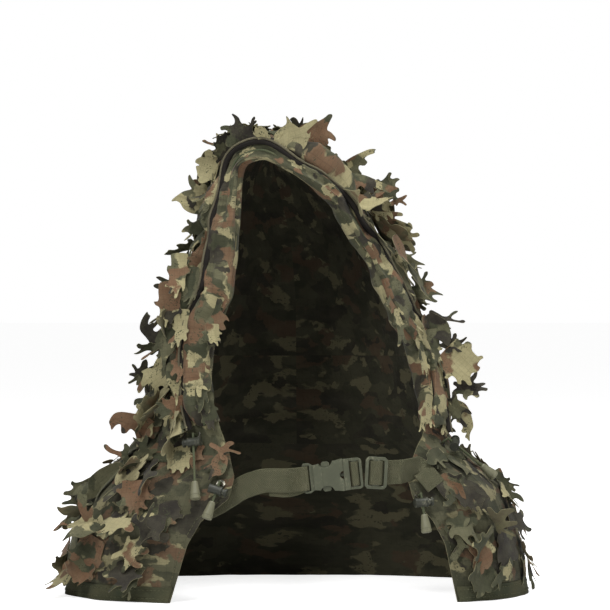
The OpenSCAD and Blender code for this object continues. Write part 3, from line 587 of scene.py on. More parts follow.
EP = edge_path()
E_P = smooth(form(EP[:, 0], EP[:, 1]), 4)
E_N = unit(smooth(normal(EP[:, 0], EP[:, 1]), 12))
seg = np.linalg.norm(np.diff(E_P, axis=0), axis=1)
E_S = np.concatenate([[0], np.cumsum(seg)])
E_T = unit(smooth(np.gradient(E_P, axis=0), 10))
E_W = unit(smooth(unit(np.cross(E_N, E_T)), 10))
E_V = unit(np.cross(E_T, E_W))
E_WR = smooth(wrinkle(EP[:, 0], EP[:, 1]), 3)
W_L = [(180, 29), (250, 29), (300, 31), (356, 31), (390, 26), (419, 20), (447, 14), (463, 16)]
W_R = [(180, 31), (250, 30), (313, 27), (349, 21), (367, 18), (403, 15), (427, 15), (450, 12), (463, 17)]
APEX = int(np.argmax(EP[:, 1]))
E_WID = smooth(np.concatenate([tab(W_L, EP[:APEX, 1]), tab(W_R, EP[APEX:, 1])]), 8)


def tunnel(name, ia, ib, body, nodes):
    """The gathered, folded sleeve round the face: a flattened tube with pleats and a twist that grows towards its lower ends."""
    idx = np.arange(ia, ib)
    n = 44
    phi = np.linspace(0, 2 * math.pi, n, endpoint=False)
    s = E_S[idx]
    low = np.clip((300 - EP[idx, 1]) / 110, 0, 1)
    right = (E_P[idx, 0] > 20).astype(float)
    half = E_WID[idx] / 2 + 0.9 * vnoise(np.stack([s / 40, s * 0, s * 0 + 3], -1), 4)
    thick = 3.2 + 0.9 * vnoise(np.stack([s / 30, s * 0 + 8, s * 0], -1), 5) + 1.6 * low
    twist = np.radians(9 * vnoise(np.stack([s / 60, s * 0 + 2, s * 0 + 6], -1), 6) + 16 * low * np.sin(s / 26))
    cw = half - 0.6 + 0.7 * vnoise(np.stack([s / 55, s * 0 + 5, s * 0 + 1], -1), 7)
    free = np.minimum(E_S[idx], E_S[-1] - E_S[idx])
    ease = np.clip(free / 20, 0, 1) ** 0.6
    half, thick, cw = half * (0.45 + 0.55 * ease), thick * (0.16 + 0.84 * ease), cw - (1 - ease) * 2
    rings = []
    for k, i in enumerate(idx):
        x = half[k] * sp(np.cos(phi), 0.75)
        y = thick[k] * sp(np.sin(phi), 0.8)
        q = np.stack([np.full(n, s[k] / 15), x / 13 + s[k] / 34, np.sign(y) * 0.7], -1)
        fold = fbm(q, 31, 3)
        pleat = 1 - 2.6 * np.abs(vnoise(np.stack([np.full(n, s[k] / 60) + x / 40, x / 8.0, np.full(n, 1.5)], -1), 33))
        pinch = 1 - 2 * np.abs(vnoise(np.stack([np.full(n, s[k] / 11), x / 30 + s[k] / 60, np.full(n, 4.5)], -1), 35))
        y = y + (1.9 * fold + 2.9 * pleat + 1.3 * pinch) * ease[k] * (y > 0) + 0.5 * fold * ease[k] * (y <= 0)
        x = x + 1.3 * vnoise(np.stack([np.full(n, s[k] / 9), x / 20, np.sign(y)], -1), 36)
        c, sn = math.cos(twist[k]), math.sin(twist[k])
        xx, yy = x * c - y * sn, x * sn + y * c
        yy = np.maximum(yy + thick[k] + 2.0 * ease[k], 1.0 + 0.02 * np.abs(xx)) + max(0.0, E_WR[i])
        rings.append(E_P[i] + (cw[k] + xx)[:, None] * E_W[i] + yy[:, None] * E_V[i])
    V = np.concatenate(rings)
    F = tube_faces(len(idx), n)
    pat = np.stack([np.repeat(s, n), np.tile(np.concatenate([np.linspace(0, 34, n // 2), np.linspace(34, 0, n - n // 2)]), len(idx)), np.full(len(V), 250.0)], -1)
    o = add_obj(name, V, F, [M_OUT], None, pat, (0.03, 0.02, -0.02), 60)
    if body == "hood":
        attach(o, "hood")
    else:
        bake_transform(o)
    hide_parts(*nodes)
    return cw, half


i_lo_l = int(np.argmin(np.abs(EP[:, 1][: len(EP) // 2] - 250)))
half_n = int(np.argmax(EP[:, 1]))
i_lo_r = half_n + int(np.argmin(np.abs(EP[half_n:, 1] - 250)))
tunnel("face_tunnel_cloth", i_lo_l, i_lo_r + 1, "hood", ["face_tunnel"])
tunnel("face_tunnel_lower_left_cloth", 0, i_lo_l + 1, "blend", ["face_tunnel_lower_left"])
tunnel("face_tunnel_lower_right_cloth", i_lo_r, len(EP), "blend", ["face_tunnel_lower_right"])


def edge_tube(name, ia, ib, w, v, r, mat, body, nodes=(), wav=1.0, seed=1, n=10, dw=0.0):
    """A rolled edge or cord that follows the face opening at a share w of the sleeve's width and v above the cloth."""
    idx = np.arange(ia, ib)
    s = E_S[idx]
    ww = w * E_WID[idx] + dw - 0.6 + wav * vnoise(np.stack([s / 22, s * 0, s * 0], -1), seed)
    vv = v + 0.6 * wav * vnoise(np.stack([s / 18, s * 0 + 4, s * 0], -1), seed) + np.maximum(0, E_WR[idx])
    rr = r * (1 + 0.16 * vnoise(np.stack([s / 5, s * 0, s * 0 + 9], -1), seed))
    ph = np.linspace(0, 2 * math.pi, n, endpoint=False)
    ring = lambda k, i: E_P[i] + (ww[k] + rr[k] * np.cos(ph))[:, None] * E_W[i] + (vv[k] + rr[k] * np.sin(ph))[:, None] * E_V[i]
    V = np.concatenate([ring(k, i) for k, i in enumerate(idx)])
    pat = np.stack([np.repeat(s, n), np.tile(ph * r, len(idx)), np.full(len(V), seed * 9.0)], -1)
    o = add_obj(name, V, tube_faces(len(idx), n), [mat], None, pat, None, 60)
    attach(o, "hood") if body == "hood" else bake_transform(o)
    if nodes:
        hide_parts(*nodes)


# the binding tube's near-black colour is painted shadow for the groove between the sleeve and the hood's cloth, on a
# real rolled seam edge
edge_tube("face_seam_binding", i_lo_l, i_lo_r + 1, 1.0, 7.6, 3.0, M_BIND_PAINTED_SHADOW, "hood", wav=1.6, seed=51)
edge_tube("face_seam_binding_lower_left", 0, i_lo_l + 1, 1.0, 7.6, 3.0, M_BIND_PAINTED_SHADOW, "blend", wav=1.6, seed=51)
edge_tube("face_seam_binding_lower_right", i_lo_r, len(EP), 1.0, 7.6, 3.0, M_BIND_PAINTED_SHADOW, "blend", wav=1.6, seed=51)
# the piping tube's light colour is partly a painted highlight on the rolled edge beside the dark groove
edge_tube("face_seam_piping", i_lo_l, i_lo_r + 1, 1.0, 9.8, 1.25, M_PIPE_PAINTED_HIGHLIGHT, "hood", wav=1.6, seed=51, n=8, dw=3.3)
edge_tube("face_seam_piping_lower_left", 0, i_lo_l + 1, 1.0, 9.8, 1.25, M_PIPE_PAINTED_HIGHLIGHT, "blend", wav=1.6, seed=51, n=8, dw=3.3)
edge_tube("face_seam_piping_lower_right", i_lo_r, len(EP), 1.0, 9.8, 1.25, M_PIPE_PAINTED_HIGHLIGHT, "blend", wav=1.6, seed=51, n=8, dw=3.3)
edge_tube("brow_drawcord_core", i_lo_l, i_lo_r + 1, 0.5, 5.6, 1.25, M_CORD, "hood", ["brow_drawcord"], wav=0.3, seed=52, n=8)
edge_tube("drawcord_run_left_core", 0, i_lo_l + 1, 0.5, 5.6, 1.25, M_CORD, "blend", ["drawcord_run_left"], wav=0.3, seed=52, n=8)
edge_tube("drawcord_run_right_core", i_lo_r, len(EP), 0.5, 5.6, 1.25, M_CORD, "blend", ["drawcord_run_right"], wav=0.3, seed=52, n=8)


def outer_fold(name, ia, ib, body, seed, wide=(15, 9), thick=5.0):
    """A loose fold of the hood's cloth lying just outside the sleeve's seam."""
    idx = np.arange(ia, ib)
    n = 26
    phi = np.linspace(0, 2 * math.pi, n, endpoint=False)
    s = E_S[idx]
    ends = np.clip(np.minimum(np.arange(len(idx)), np.arange(len(idx))[::-1]) / 7.0, 0, 1) ** 0.7
    half = (wide[0] / 2 + wide[1] / 2 * vnoise(np.stack([s / 34, s * 0, s * 0 + seed], -1), 81)) * (0.3 + 0.7 * ends)
    tk = np.clip(thick * (0.62 + 0.75 * vnoise(np.stack([s / 27, s * 0 + 3, s * 0 + seed], -1), 82)), 1.0, None) * (0.3 + 0.7 * ends)
    rings = []
    for k, i in enumerate(idx):
        x = half[k] * sp(np.cos(phi), 0.8)
        y = tk[k] * sp(np.sin(phi), 0.9) * np.where(np.sin(phi) > 0, 1.0, 0.5)
        y = y + (1.6 * fbm(np.stack([np.full(n, s[k] / 19), x / 6 + s[k] / 40, np.full(n, seed)], -1), 83, 2) + 1.2 * np.cos(phi)) * (y > 0) * ends[k]
        w = E_WID[i] + half[k] + 3.6
        rings.append(E_P[i] + (w + x)[:, None] * E_W[i] + (y + tk[k] * 0.5 + 1.6 + max(0.0, E_WR[i]))[:, None] * E_V[i])
    V = np.concatenate(rings)
    pat = np.stack([np.repeat(s, n), np.tile(phi * 6, len(idx)), np.full(len(V), 300.0 + 50 * seed)], -1)
    o = add_obj(name, V, tube_faces(len(idx), n), [M_LEAF], None, pat, (0.06, 0.03, 0.0), 60)
    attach(o, "hood") if body == "hood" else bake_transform(o)


z_at = lambda side, z: int(np.argmin(np.abs(EP[:APEX, 1] - z))) if side < 0 else APEX + int(np.argmin(np.abs(EP[APEX:, 1] - z)))
outer_fold("hood_fold_left_upper", z_at(-1, 382), z_at(-1, 446), "hood", 1, (12, 6), 4.0)
outer_fold("hood_fold_left_lower", z_at(-1, 256), z_at(-1, 368), "hood", 2, (17, 10), 5.0)
outer_fold("hood_fold_right_upper", z_at(1, 456), z_at(1, 398), "hood", 3, (22, 8), 7.0)
outer_fold("hood_fold_right_lower", z_at(1, 386), z_at(1, 258), "hood", 4, (17, 10), 5.5)
outer_fold("cowl_fold_left", 6, z_at(-1, 248), "blend", 5, (16, 10), 5.0)
outer_fold("cowl_fold_right", z_at(1, 248), len(EP) - 6, "blend", 6, (16, 10), 5.0)


def facing(name, ia, ib, body):
    """The inner hem of the face opening, turned in behind the tunnel."""
    idx = np.arange(ia, ib)
    s = E_S[idx]
    prof = [(5.0, 1.0), (2.6, 2.6), (0.8, 1.0), (1.6, -3.0), (5.0, -8.0), (9.5, -12.0), (14.5, -15.0)]
    m, n = len(idx), len(prof)
    grids = []
    for t in (0.0, 1.1):
        g = np.zeros((m, n, 3))
        for j, (w, v) in enumerate(prof):
            wob = 2.0 * vnoise(np.stack([s / 16, s * 0 + j / 2.5, s * 0 + 2], -1), 61) * (j / 6)
            g[:, j] = E_P[idx] + (w + wob - (t if j > 1 else 0))[:, None] * E_W[idx] + (v + wob + (t if j <= 1 else 0) + np.maximum(0, E_WR[idx]) * (j < 3))[:, None] * E_V[idx]
        grids.append(g)
    V = np.concatenate([grids[1].reshape(-1, 3), grids[0].reshape(-1, 3)])
    F, part = shell_faces(m, n)
    pat = np.stack([np.repeat(s, n), np.tile(np.arange(n) * 4.0 + 60, m), np.full(m * n, 77.0)], -1)
    o = add_obj(name, V, F, [M_OUT], None, np.concatenate([pat, pat]), (0.04, 0.0, 0.0), 60)
    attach(o, "hood") if body == "hood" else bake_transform(o)


facing("face_facing_cloth", i_lo_l, i_lo_r + 1, "hood")
facing("face_facing_lower_left_cloth", 0, i_lo_l + 1, "blend")
facing("face_facing_lower_right_cloth", i_lo_r, len(EP), "blend")


# ---------------------------------------------------------------- leaves
KINDS = {
    "prong": [(-.07, 0), (-.09, .12), (-.22, .18), (-.36, .14), (-.46, .2), (-.42, .3), (-.30, .34), (-.24, .42), (-.32, .52), (-.44, .56), (-.46, .66), (-.36, .68), (-.24, .64), (-.16, .70), (-.13, .86), (-.11, .97), (-.03, 1.0), (0, .9), (0, .76), (.08, .66), (.2, .66), (.28, .76), (.36, .8), (.38, .70), (.30, .58), (.22, .48), (.24, .38), (.36, .32), (.42, .22), (.34, .16), (.2, .2), (.1, .12), (.07, 0)],
    "maple": [(-.06, 0), (-.08, .16), (-.2, .14), (-.36, .06), (-.42, .12), (-.34, .24), (-.30, .32), (-.42, .40), (-.54, .42), (-.56, .50), (-.44, .54), (-.30, .52), (-.24, .58), (-.28, .72), (-.24, .80), (-.16, .76), (-.10, .72), (-.07, .84), (-.04, .98), (.04, .98), (.06, .84), (.10, .72), (.2, .76), (.28, .84), (.33, .78), (.28, .66), (.26, .56), (.36, .52), (.5, .56), (.56, .5), (.48, .4), (.34, .34), (.32, .26), (.42, .16), (.40, .06), (.26, .08), (.1, .14), (.06, 0)],
    "sickle": [(-.1, 0), (-.16, .1), (-.2, .24), (-.18, .42), (-.1, .6), (.02, .78), (.15, .92), (.27, 1.0), (.28, .91), (.30, .84), (.2, .76), (.16, .68), (.26, .64), (.24, .56), (.14, .5), (.16, .42), (.26, .36), (.22, .28), (.12, .24), (.14, .12), (.1, 0)],
    "horns": [(-.09, 0), (-.12, .2), (-.1, .36), (-.2, .46), (-.36, .5), (-.5, .56), (-.54, .64), (-.44, .66), (-.3, .62), (-.16, .62), (-.1, .72), (-.12, .86), (-.2, .96), (-.14, 1.02), (-.04, .98), (.02, .84), (.02, .68), (.08, .54), (.22, .5), (.32, .56), (.38, .52), (.34, .42), (.2, .36), (.12, .24), (.09, 0)],
    "fish": [(-.16, 0), (-.26, .08), (-.34, .2), (-.38, .34), (-.34, .46), (-.42, .56), (-.5, .62), (-.46, .68), (-.34, .66), (-.26, .62), (-.2, .74), (-.14, .84), (-.05, .97), (.02, .98), (.04, .86), (.12, .76), (.24, .7), (.34, .6), (.4, .46), (.4, .3), (.34, .16), (.26, .06), (.16, 0)],
    "patch": [(-.3, 0), (-.36, .14), (-.34, .3), (-.4, .4), (-.5, .44), (-.46, .52), (-.36, .54), (-.34, .66), (-.38, .78), (-.32, .86), (-.24, .78), (-.16, .84), (-.14, .96), (-.06, 1.0), (-.02, .88), (.06, .82), (.14, .9), (.22, .88), (.22, .76), (.32, .72), (.42, .76), (.44, .66), (.36, .58), (.36, .44), (.46, .36), (.44, .28), (.34, .26), (.34, .12), (.3, 0)],
    "strip": [(-.1, 0), (-.12, .2), (-.16, .36), (-.24, .44), (-.22, .5), (-.13, .5), (-.12, .66), (-.16, .84), (-.2, .96), (-.14, 1.0), (-.06, .9), (0, .8), (.06, .88), (.12, .94), (.16, .88), (.12, .74), (.12, .6), (.2, .54), (.22, .46), (.13, .42), (.11, .2), (.1, 0)],
    "round": [(-.1, 0), (-.24, .04), (-.36, .12), (-.44, .26), (-.38, .36), (-.46, .48), (-.48, .62), (-.38, .7), (-.3, .66), (-.26, .78), (-.18, .9), (-.08, .92), (-.02, .84), (.04, .96), (.14, .98), (.22, .88), (.22, .76), (.32, .78), (.42, .68), (.44, .54), (.36, .46), (.44, .34), (.42, .2), (.32, .1), (.2, .04), (.1, 0)],
}
SPREAD = {"prong": 2, "maple": 2, "sickle": 1.2, "horns": 1.5, "fish": 2.2, "patch": 2, "strip": 1.0, "round": 1.8}


def template(points, seg=3, cell=0.085):
    """Rounded outline of a cut leaf, filled with triangles; returns points, triangles and the outline edges."""
    P = np.array(points)
    m = len(P)
    out = []
    for i in range(m):
        a, b, c, d = P[i - 1], P[i], P[(i + 1) % m], P[(i + 2) % m]
        for t in np.linspace(0, 1, seg, endpoint=False):
            out.append(0.5 * (2 * b + (c - a) * t + (2 * a - 5 * b + 4 * c - d) * t**2 + (3 * b - a - 3 * c + d) * t**3))
    out = np.array(out)
    if np.sum(out[:, 0] * np.roll(out[:, 1], -1) - np.roll(out[:, 0], -1) * out[:, 1]) < 0:
        out = out[::-1].copy()
    nxt = np.roll(out, -1, axis=0)
    gx, gy = np.meshgrid(np.arange(-0.6, 0.61, cell), np.arange(0.04, 1.0, cell))
    gx = gx + (np.arange(gx.shape[0]) % 2)[:, None] * cell / 2
    inside = []
    for q in np.stack([gx.ravel(), gy.ravel()], -1):
        hit = ((out[:, 1] > q[1]) != (nxt[:, 1] > q[1])) & (q[0] < (nxt[:, 0] - out[:, 0]) * (q[1] - out[:, 1]) / (nxt[:, 1] - out[:, 1] + 1e-12) + out[:, 0])
        if hit.sum() % 2 and np.min(np.linalg.norm(out - q, axis=1)) > 0.035:
            inside.append(q)
    pts = np.concatenate([out, np.array(inside)])
    v, e, f, *_ = delaunay_2d_cdt([Vector(p) for p in pts.tolist()], [], [list(range(len(out)))], 1, 1e-5)
    V = np.array([tuple(p) for p in v])
    tris = [t for t in f if len(t) == 3]
    edges = {}
    for t in tris:
        for a, b in zip(t, t[1:] + t[:1]):
            edges[(a, b)] = 1
    rim = [(a, b) for (a, b) in edges if (b, a) not in edges]
    return V, np.array(tris), np.array(rim)


def both_sides(T):
    V, tri, rim = T
    k = len(V)
    F = [tuple(t) for t in tri] + [(k + t[0], k + t[2], k + t[1]) for t in tri] + [(b, a, k + a, k + b) for a, b in rim]
    part = [0] * len(tri) + [1] * len(tri) + [2] * len(rim)
    return V, F, part


TEMPLATES = {}
for key, pts in KINDS.items():
    TEMPLATES[key, 0] = both_sides(template(pts))
    TEMPLATES[key, 1] = both_sides(template([(-x, y) for x, y in pts]))
NATURAL = {key: max(p[0] for p in pts) - min(p[0] for p in pts) for key, pts in KINDS.items()}


def leaf_solid(kind, L, sx, r, curl=0.5, cup=0.0, twist=0.0, ripple=1.0, thick=0.5, flip=None):
    """One leaf, base at the origin, growing along +Y with its face towards +Z; L is its length, sx its scale across."""
    flip = int(r.integers(2)) if flip is None else flip
    P, F, part = TEMPLATES[kind, flip]
    px, py = P[:, 0].copy(), P[:, 1].copy()
    q = np.stack([px * 2.6 + r.uniform(0, 90), py * 2.6 + r.uniform(0, 90), px * 0], -1)
    grow_in = np.clip(py * 3, 0, 1)
    px = px + 0.13 * vnoise(q, 71) * grow_in
    py = py + 0.11 * vnoise(q, 72) * grow_in
    px = px + r.uniform(-0.22, 0.22) * py**2
    x, y = px * sx, py * L
    wob = fbm(np.stack([x / 17 + r.uniform(0, 90), y / 17, x * 0], -1), 73, 2)
    zo = ripple * 2.6 * wob * np.clip(py * 4, 0, 1) - 1.2 * r.uniform(-0.4, 1) * (1 - np.clip(np.abs(px) * 6, 0, 1))
    out = []
    axis = r.normal(0, 0.35)
    ca, sa = math.cos(axis), math.sin(axis)
    for dz in (thick / 2, -thick / 2):
        z = zo + dz
        # roll across an oblique axis, then curl along the length, most at the tip
        xa, ya = x * ca - y * sa, x * sa + y * ca
        k = (cup if abs(cup) > 0.03 else 0.03) / (0.5 * sx)
        xb, zb = np.sin(k * xa) / k - z * np.sin(k * xa), (1 - np.cos(k * xa)) / k + z * np.cos(k * xa)
        xc, yc = xb * ca + ya * sa, -xb * sa + ya * ca
        a = twist * yc / L
        xd, zd = xc * np.cos(a) - zb * np.sin(a), xc * np.sin(a) + zb * np.cos(a)
        t = np.linspace(-0.4, 1.6, 60)
        ph = curl * np.sign(t) * np.abs(t) ** 1.6
        cy, cz = np.cumsum(np.cos(ph)) * (t[1] - t[0]), np.cumsum(np.sin(ph)) * (t[1] - t[0])
        z0 = int(np.argmin(np.abs(t)))
        cy, cz = cy - cy[z0], cz - cz[z0]
        tau = yc / L
        f = np.interp(tau, t, ph)
        out.append(np.stack([xd, L * np.interp(tau, t, cy) - zd * np.sin(f), L * np.interp(tau, t, cz) + zd * np.cos(f)], -1))
    pat = np.stack([x, y, np.zeros_like(x)], -1)
    return np.concatenate(out), F, part, np.concatenate([pat, pat])


TINTS = {"pale": (0.24, -0.14, -0.16), "straw": (0.17, -0.06, -0.10), "brown": (-0.07, 0.15, -0.04), "dark": (-0.10, -0.07, 0.13), "green": (-0.12, -0.10, -0.08), "mix": (0.0, 0.0, 0.0), "tan": (0.11, 0.02, -0.05), "olive": (0.03, -0.08, -0.06)}
OPEN_Z = np.array([r[0] for r in T_L], float)


def in_opening(q, pad=0.0):
    """True where a point lies in front of the face opening, its sleeve or the open front."""
    z = q[..., 2]
    zc = np.clip(z, 0, 464)
    wl = np.where(z > 186, tab(W_L, zc) * 0.94, 0.0)
    wr = np.where(z > 182, tab(W_R, zc) * 0.94, 0.0)
    gap = (z < 466) & (q[..., 1] < -20) & (q[..., 0] > tab(T_L, zc) - wl + pad) & (q[..., 0] < tab(T_R, zc) + wr - pad)
    return gap | ((z > 432) & (q[..., 1] < -96))


KEEP = [(-106, -104, 146, 24), (-108, -116, 112, 22), (-82, -114, 108, 22), (-90, -118, 84, 20), (-40, -115, 125, 30), (124, -104, 108, 22), (128, -106, 84, 20), (164, -60, 152, 22), (180, -64, 132, 22), (188, -62, 116, 20), (-104, -118, 100, 20), (90, -120, 130, 36), (126, -112, 130, 18)]


# how far the leaves reach to each side at each height, seen from the front
REACH_R = [(0, 262), (84, 243), (112, 226), (133, 210), (141, 198), (149, 195), (175, 190), (202, 188), (212, 198), (233, 197), (249, 184), (265, 182), (280, 169), (298, 148), (312, 140), (324, 146), (335, 129), (346, 133), (358, 125), (367, 127), (396, 119), (408, 106), (417, 112), (427, 110), (440, 92), (448, 62), (459, 50), (469, 38), (479, 31), (490, 27), (520, 20)]
REACH_L = [(0, -266), (86, -254), (105, -249), (131, -225), (141, -212), (154, -186), (168, -168), (177, -177), (194, -177), (215, -184), (236, -180), (257, -168), (272, -165), (293, -156), (307, -151), (320, -154), (331, -146), (341, -127), (352, -117), (364, -112), (380, -119), (391, -108), (412, -107), (422, -121), (438, -116), (446, -102), (459, -102), (469, -93), (480, -89), (490, -74), (520, -66)]


def beyond(q, slack=4.0):
    z = q[:, 2]
    return bool(((q[:, 0] > tab(REACH_R, z) + slack) | (q[:, 0] < tab(REACH_L, z) - slack) | (z > 499)).any())


def near_hardware(q):
    return any(np.min(np.linalg.norm(q - np.array([x, y - Y_MID, z]), axis=-1)) < r for x, y, z, r in KEEP)


def place(V, base, X, Y, Z):
    return base + V[:, :1] * X + V[:, 1:2] * Y + V[:, 2:] * Z


def locate(Q):
    """The place (u, h) on the draped form nearest to each point."""
    y = Q[:, 1] + Y_MID
    h = np.clip(Q[:, 2], 0, 487)
    for _ in range(3):
        h = np.clip(Q[:, 2] + tab(T_G, h) * 0.0016 * (y + 25) ** 2 * np.where(y > -25, 1.15, 0.9), 0, 488)
    d = np.where(y < 0, tab(T_F, h), tab(T_B, h))
    u = np.degrees(np.arctan2(sp((Q[:, 0] - tab(T_X, h)) / tab(T_A, h), POWER / 2), sp(-y / d, POWER / 2)))
    return u, h


def drape(Q, margin):
    """Pushes any point of a leaf that would pass into the cloth back out to its surface."""
    k = len(Q) // 2
    mid = (Q[:k] + Q[k:]) / 2
    u, h = locate(mid)
    n = normal(u, h)
    off = ((mid - form(u, h)) * n).sum(1)
    need = wrinkle(u, h) + margin - off
    need = np.where((need > 0) & (h < 486.5), np.minimum(need, 40), 0)
    move = n * need[:, None]
    move[:, 2] = np.maximum(move[:, 2], -1.0)
    return Q + np.concatenate([move, move])


def pick(r, weights):
    names = list(weights)
    p = np.array([weights[k] for k in names], float)
    return names[int(r.choice(len(names), p=p / p.sum()))]


MIX_HOOD = {"straw": 0.22, "tan": 0.16, "brown": 0.15, "dark": 0.15, "green": 0.12, "mix": 0.12, "olive": 0.08}
# the right side is darker: these mixes lean to dark and green leaves, painted shade for the side away from the key
# light
MIX_HOOD_RIGHT_PAINTED_SHADE = {"straw": 0.12, "tan": 0.13, "brown": 0.16, "dark": 0.24, "green": 0.19, "mix": 0.09, "olive": 0.07}
MIX_CAPE_RIGHT_PAINTED_SHADE = {"straw": 0.02, "tan": 0.04, "brown": 0.20, "dark": 0.40, "green": 0.28, "mix": 0.04, "olive": 0.02}
MIX_CAPE = {"straw": 0.05, "tan": 0.08, "brown": 0.20, "dark": 0.28, "green": 0.24, "mix": 0.10, "olive": 0.05}


def grow(batch, rows, u_lo, u_hi, r, tints, size=1.0, pitch=30.0, guard=True, wild=0.22, rise=(20, 12)):
    """Rows of leaves sewn along the cloth; each hangs down with its own turn, lift and curl, and stays out of the face opening."""
    for row, h in enumerate(rows):
        a, b = float(u_lo(h)), float(u_hi(h))
        arc = np.linalg.norm(form(a + (b - a) * 0.5 + 0.5, h) - form(a + (b - a) * 0.5 - 0.5, h))
        u = a + (row % 2) * 0.5 * pitch / max(arc, 0.4)
        while u < b:
            step = np.linalg.norm(form(u + 0.5, h) - form(u - 0.5, h))
            du = pitch * r.uniform(0.82, 1.2) / max(step, 0.35)
            uu, hh = u + r.uniform(-0.2, 0.2) * du, h + r.uniform(-6, 6)
            u += du
            hh = min(max(hh, 26.0), 487.0)
            base = form(uu, hh)
            n = normal(uu, hh)
            side = unit(form(uu + 1, hh) - form(uu - 1, hh))
            down = unit(np.cross(side, n))
            down = down if down[2] < 0 else -down
            w0 = float(wrinkle(uu, hh))
            for attempt in range(10):
                kind = pick(r, SPREAD)
                L = r.uniform(42, 60) * size * (1 - 0.035 * attempt)
                W = L * r.uniform(0.78, 1.0)
                ang = math.radians(r.normal(0, 32) if r.random() > wild else r.uniform(-150, 150))
                lift = math.radians(np.clip(r.normal(*rise), 4, 56)) * (1 - 0.07 * attempt)
                d0 = math.cos(ang) * down + math.sin(ang) * side
                Y = d0 * math.cos(lift) + n * math.sin(lift)
                Z = n * math.cos(lift) - d0 * math.sin(lift)
                roll = r.normal(0, 0.28)
                X = np.cross(Y, Z)
                X, Z = X * math.cos(roll) + Z * math.sin(roll), Z * math.cos(roll) - X * math.sin(roll)
                V, F, M, P = leaf_solid(kind, L, W, r, curl=r.normal(0.1, 0.55), cup=r.normal(-0.2, 0.55), twist=r.normal(0, 0.35), ripple=r.uniform(0.5, 1.5))
                Q = drape(place(V, base + n * (w0 + 1.8), X, Y, Z), 2.2 + r.uniform(0, 3.5))
                if Q[:, 2].min() < 2.0 or beyond(Q):
                    continue
                if guard and (in_opening(Q).any() or near_hardware(Q)):
                    continue
                if (Q[:, 0].min() < LIM_LO[0]) or (Q[:, 0].max() > LIM_HI[0]) or (Q[:, 1].min() < LIM_LO[1]) or (Q[:, 1].max() > LIM_HI[1]) or (Q[:, 2].max() > LIM_HI[2]):
                    continue
                P = P + np.array([r.uniform(-900, 900), r.uniform(-900, 900), r.uniform(-300, 300)])
                batch.add(Q, F, M, P, np.array(TINTS[pick(r, tints)]) + r.normal(0, 0.02, 3))
                break


LO, HI = np.array(cad_box[0]) / MM, np.array(cad_box[1]) / MM
slack = 0.03 * (HI - LO) + 9.0
LIM_LO, LIM_HI = LO - slack + 1.0, HI + slack - 1.0
LEAF_MATS = [M_LEAF, M_BACK, M_EDGE]
side_gap = lambda f, g: (lambda h: float(f(h)) + g)


def strips(name, rows, lo, hi, seed, tints, node, slot, how, **kw):
    b = Batch()
    grow(b, rows, lo, hi, np.random.default_rng(seed), tints, **kw)
    o = b.build(name, LEAF_MATS, slot, 40)
    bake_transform(o) if how == "blend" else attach(o, how)
    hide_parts(node)
    return o


uL = lambda h: float(u_of(tab(T_L, h) - tab(W_L, h), h)) if h < TOP else -12.0
uR = lambda h: float(u_of(tab(T_R, h) + tab(W_R, h), h)) if h < TOP else 12.0
cape_rows = [142, 116, 90, 64, 40]
strips("leaves_cape_left", cape_rows, lambda h: -93, lambda h: float(u_left(h)) - 3, 101, MIX_CAPE, "leaf_strips_cape_left", "cloth_rust", "cape", pitch=31)
strips("leaves_cape_right", cape_rows, lambda h: float(u_right(h)) + 3, lambda h: 91, 102, MIX_CAPE_RIGHT_PAINTED_SHADE, "leaf_strips_cape_right", "cloth_rust", "cape", pitch=29, size=0.86, rise=(9, 6), wild=0.1)
strips("leaves_cape_back", cape_rows, lambda h: 94, lambda h: 266, 103, MIX_CAPE, "leaf_strips_cape_back", "cloth_straw", "cape", pitch=34)
strips("leaves_cowl_left", [246, 220, 194, 170], lambda h: -178, uL, 104, MIX_HOOD, "leaf_strips_cowl_left", "cloth_straw", "blend", pitch=30)
strips("leaves_cowl_right", [246, 220, 194, 170], uR, lambda h: 178, 105, MIX_HOOD_RIGHT_PAINTED_SHADE, "leaf_strips_cowl_right", "cloth_straw", "blend", pitch=30)
strips("leaves_hood_left", [462, 442, 418, 392, 366, 340, 314, 288, 268], lambda h: -178, uL, 106, MIX_HOOD, "leaf_strips_hood_left", "cloth_straw", "hood", pitch=29)
strips("leaves_hood_right", [462, 442, 418, 392, 366, 340, 314, 288, 268], uR, lambda h: 178, 107, MIX_HOOD_RIGHT_PAINTED_SHADE, "leaf_strips_hood_right", "cloth_rust", "hood", pitch=29)
strips("leaves_crown", [487, 487, 486, 483, 478, 472], lambda h: 16, lambda h: 344, 108, MIX_HOOD, "leaf_strips_crown", "cloth_straw", "hood", pitch=21, wild=1.0, size=0.86)

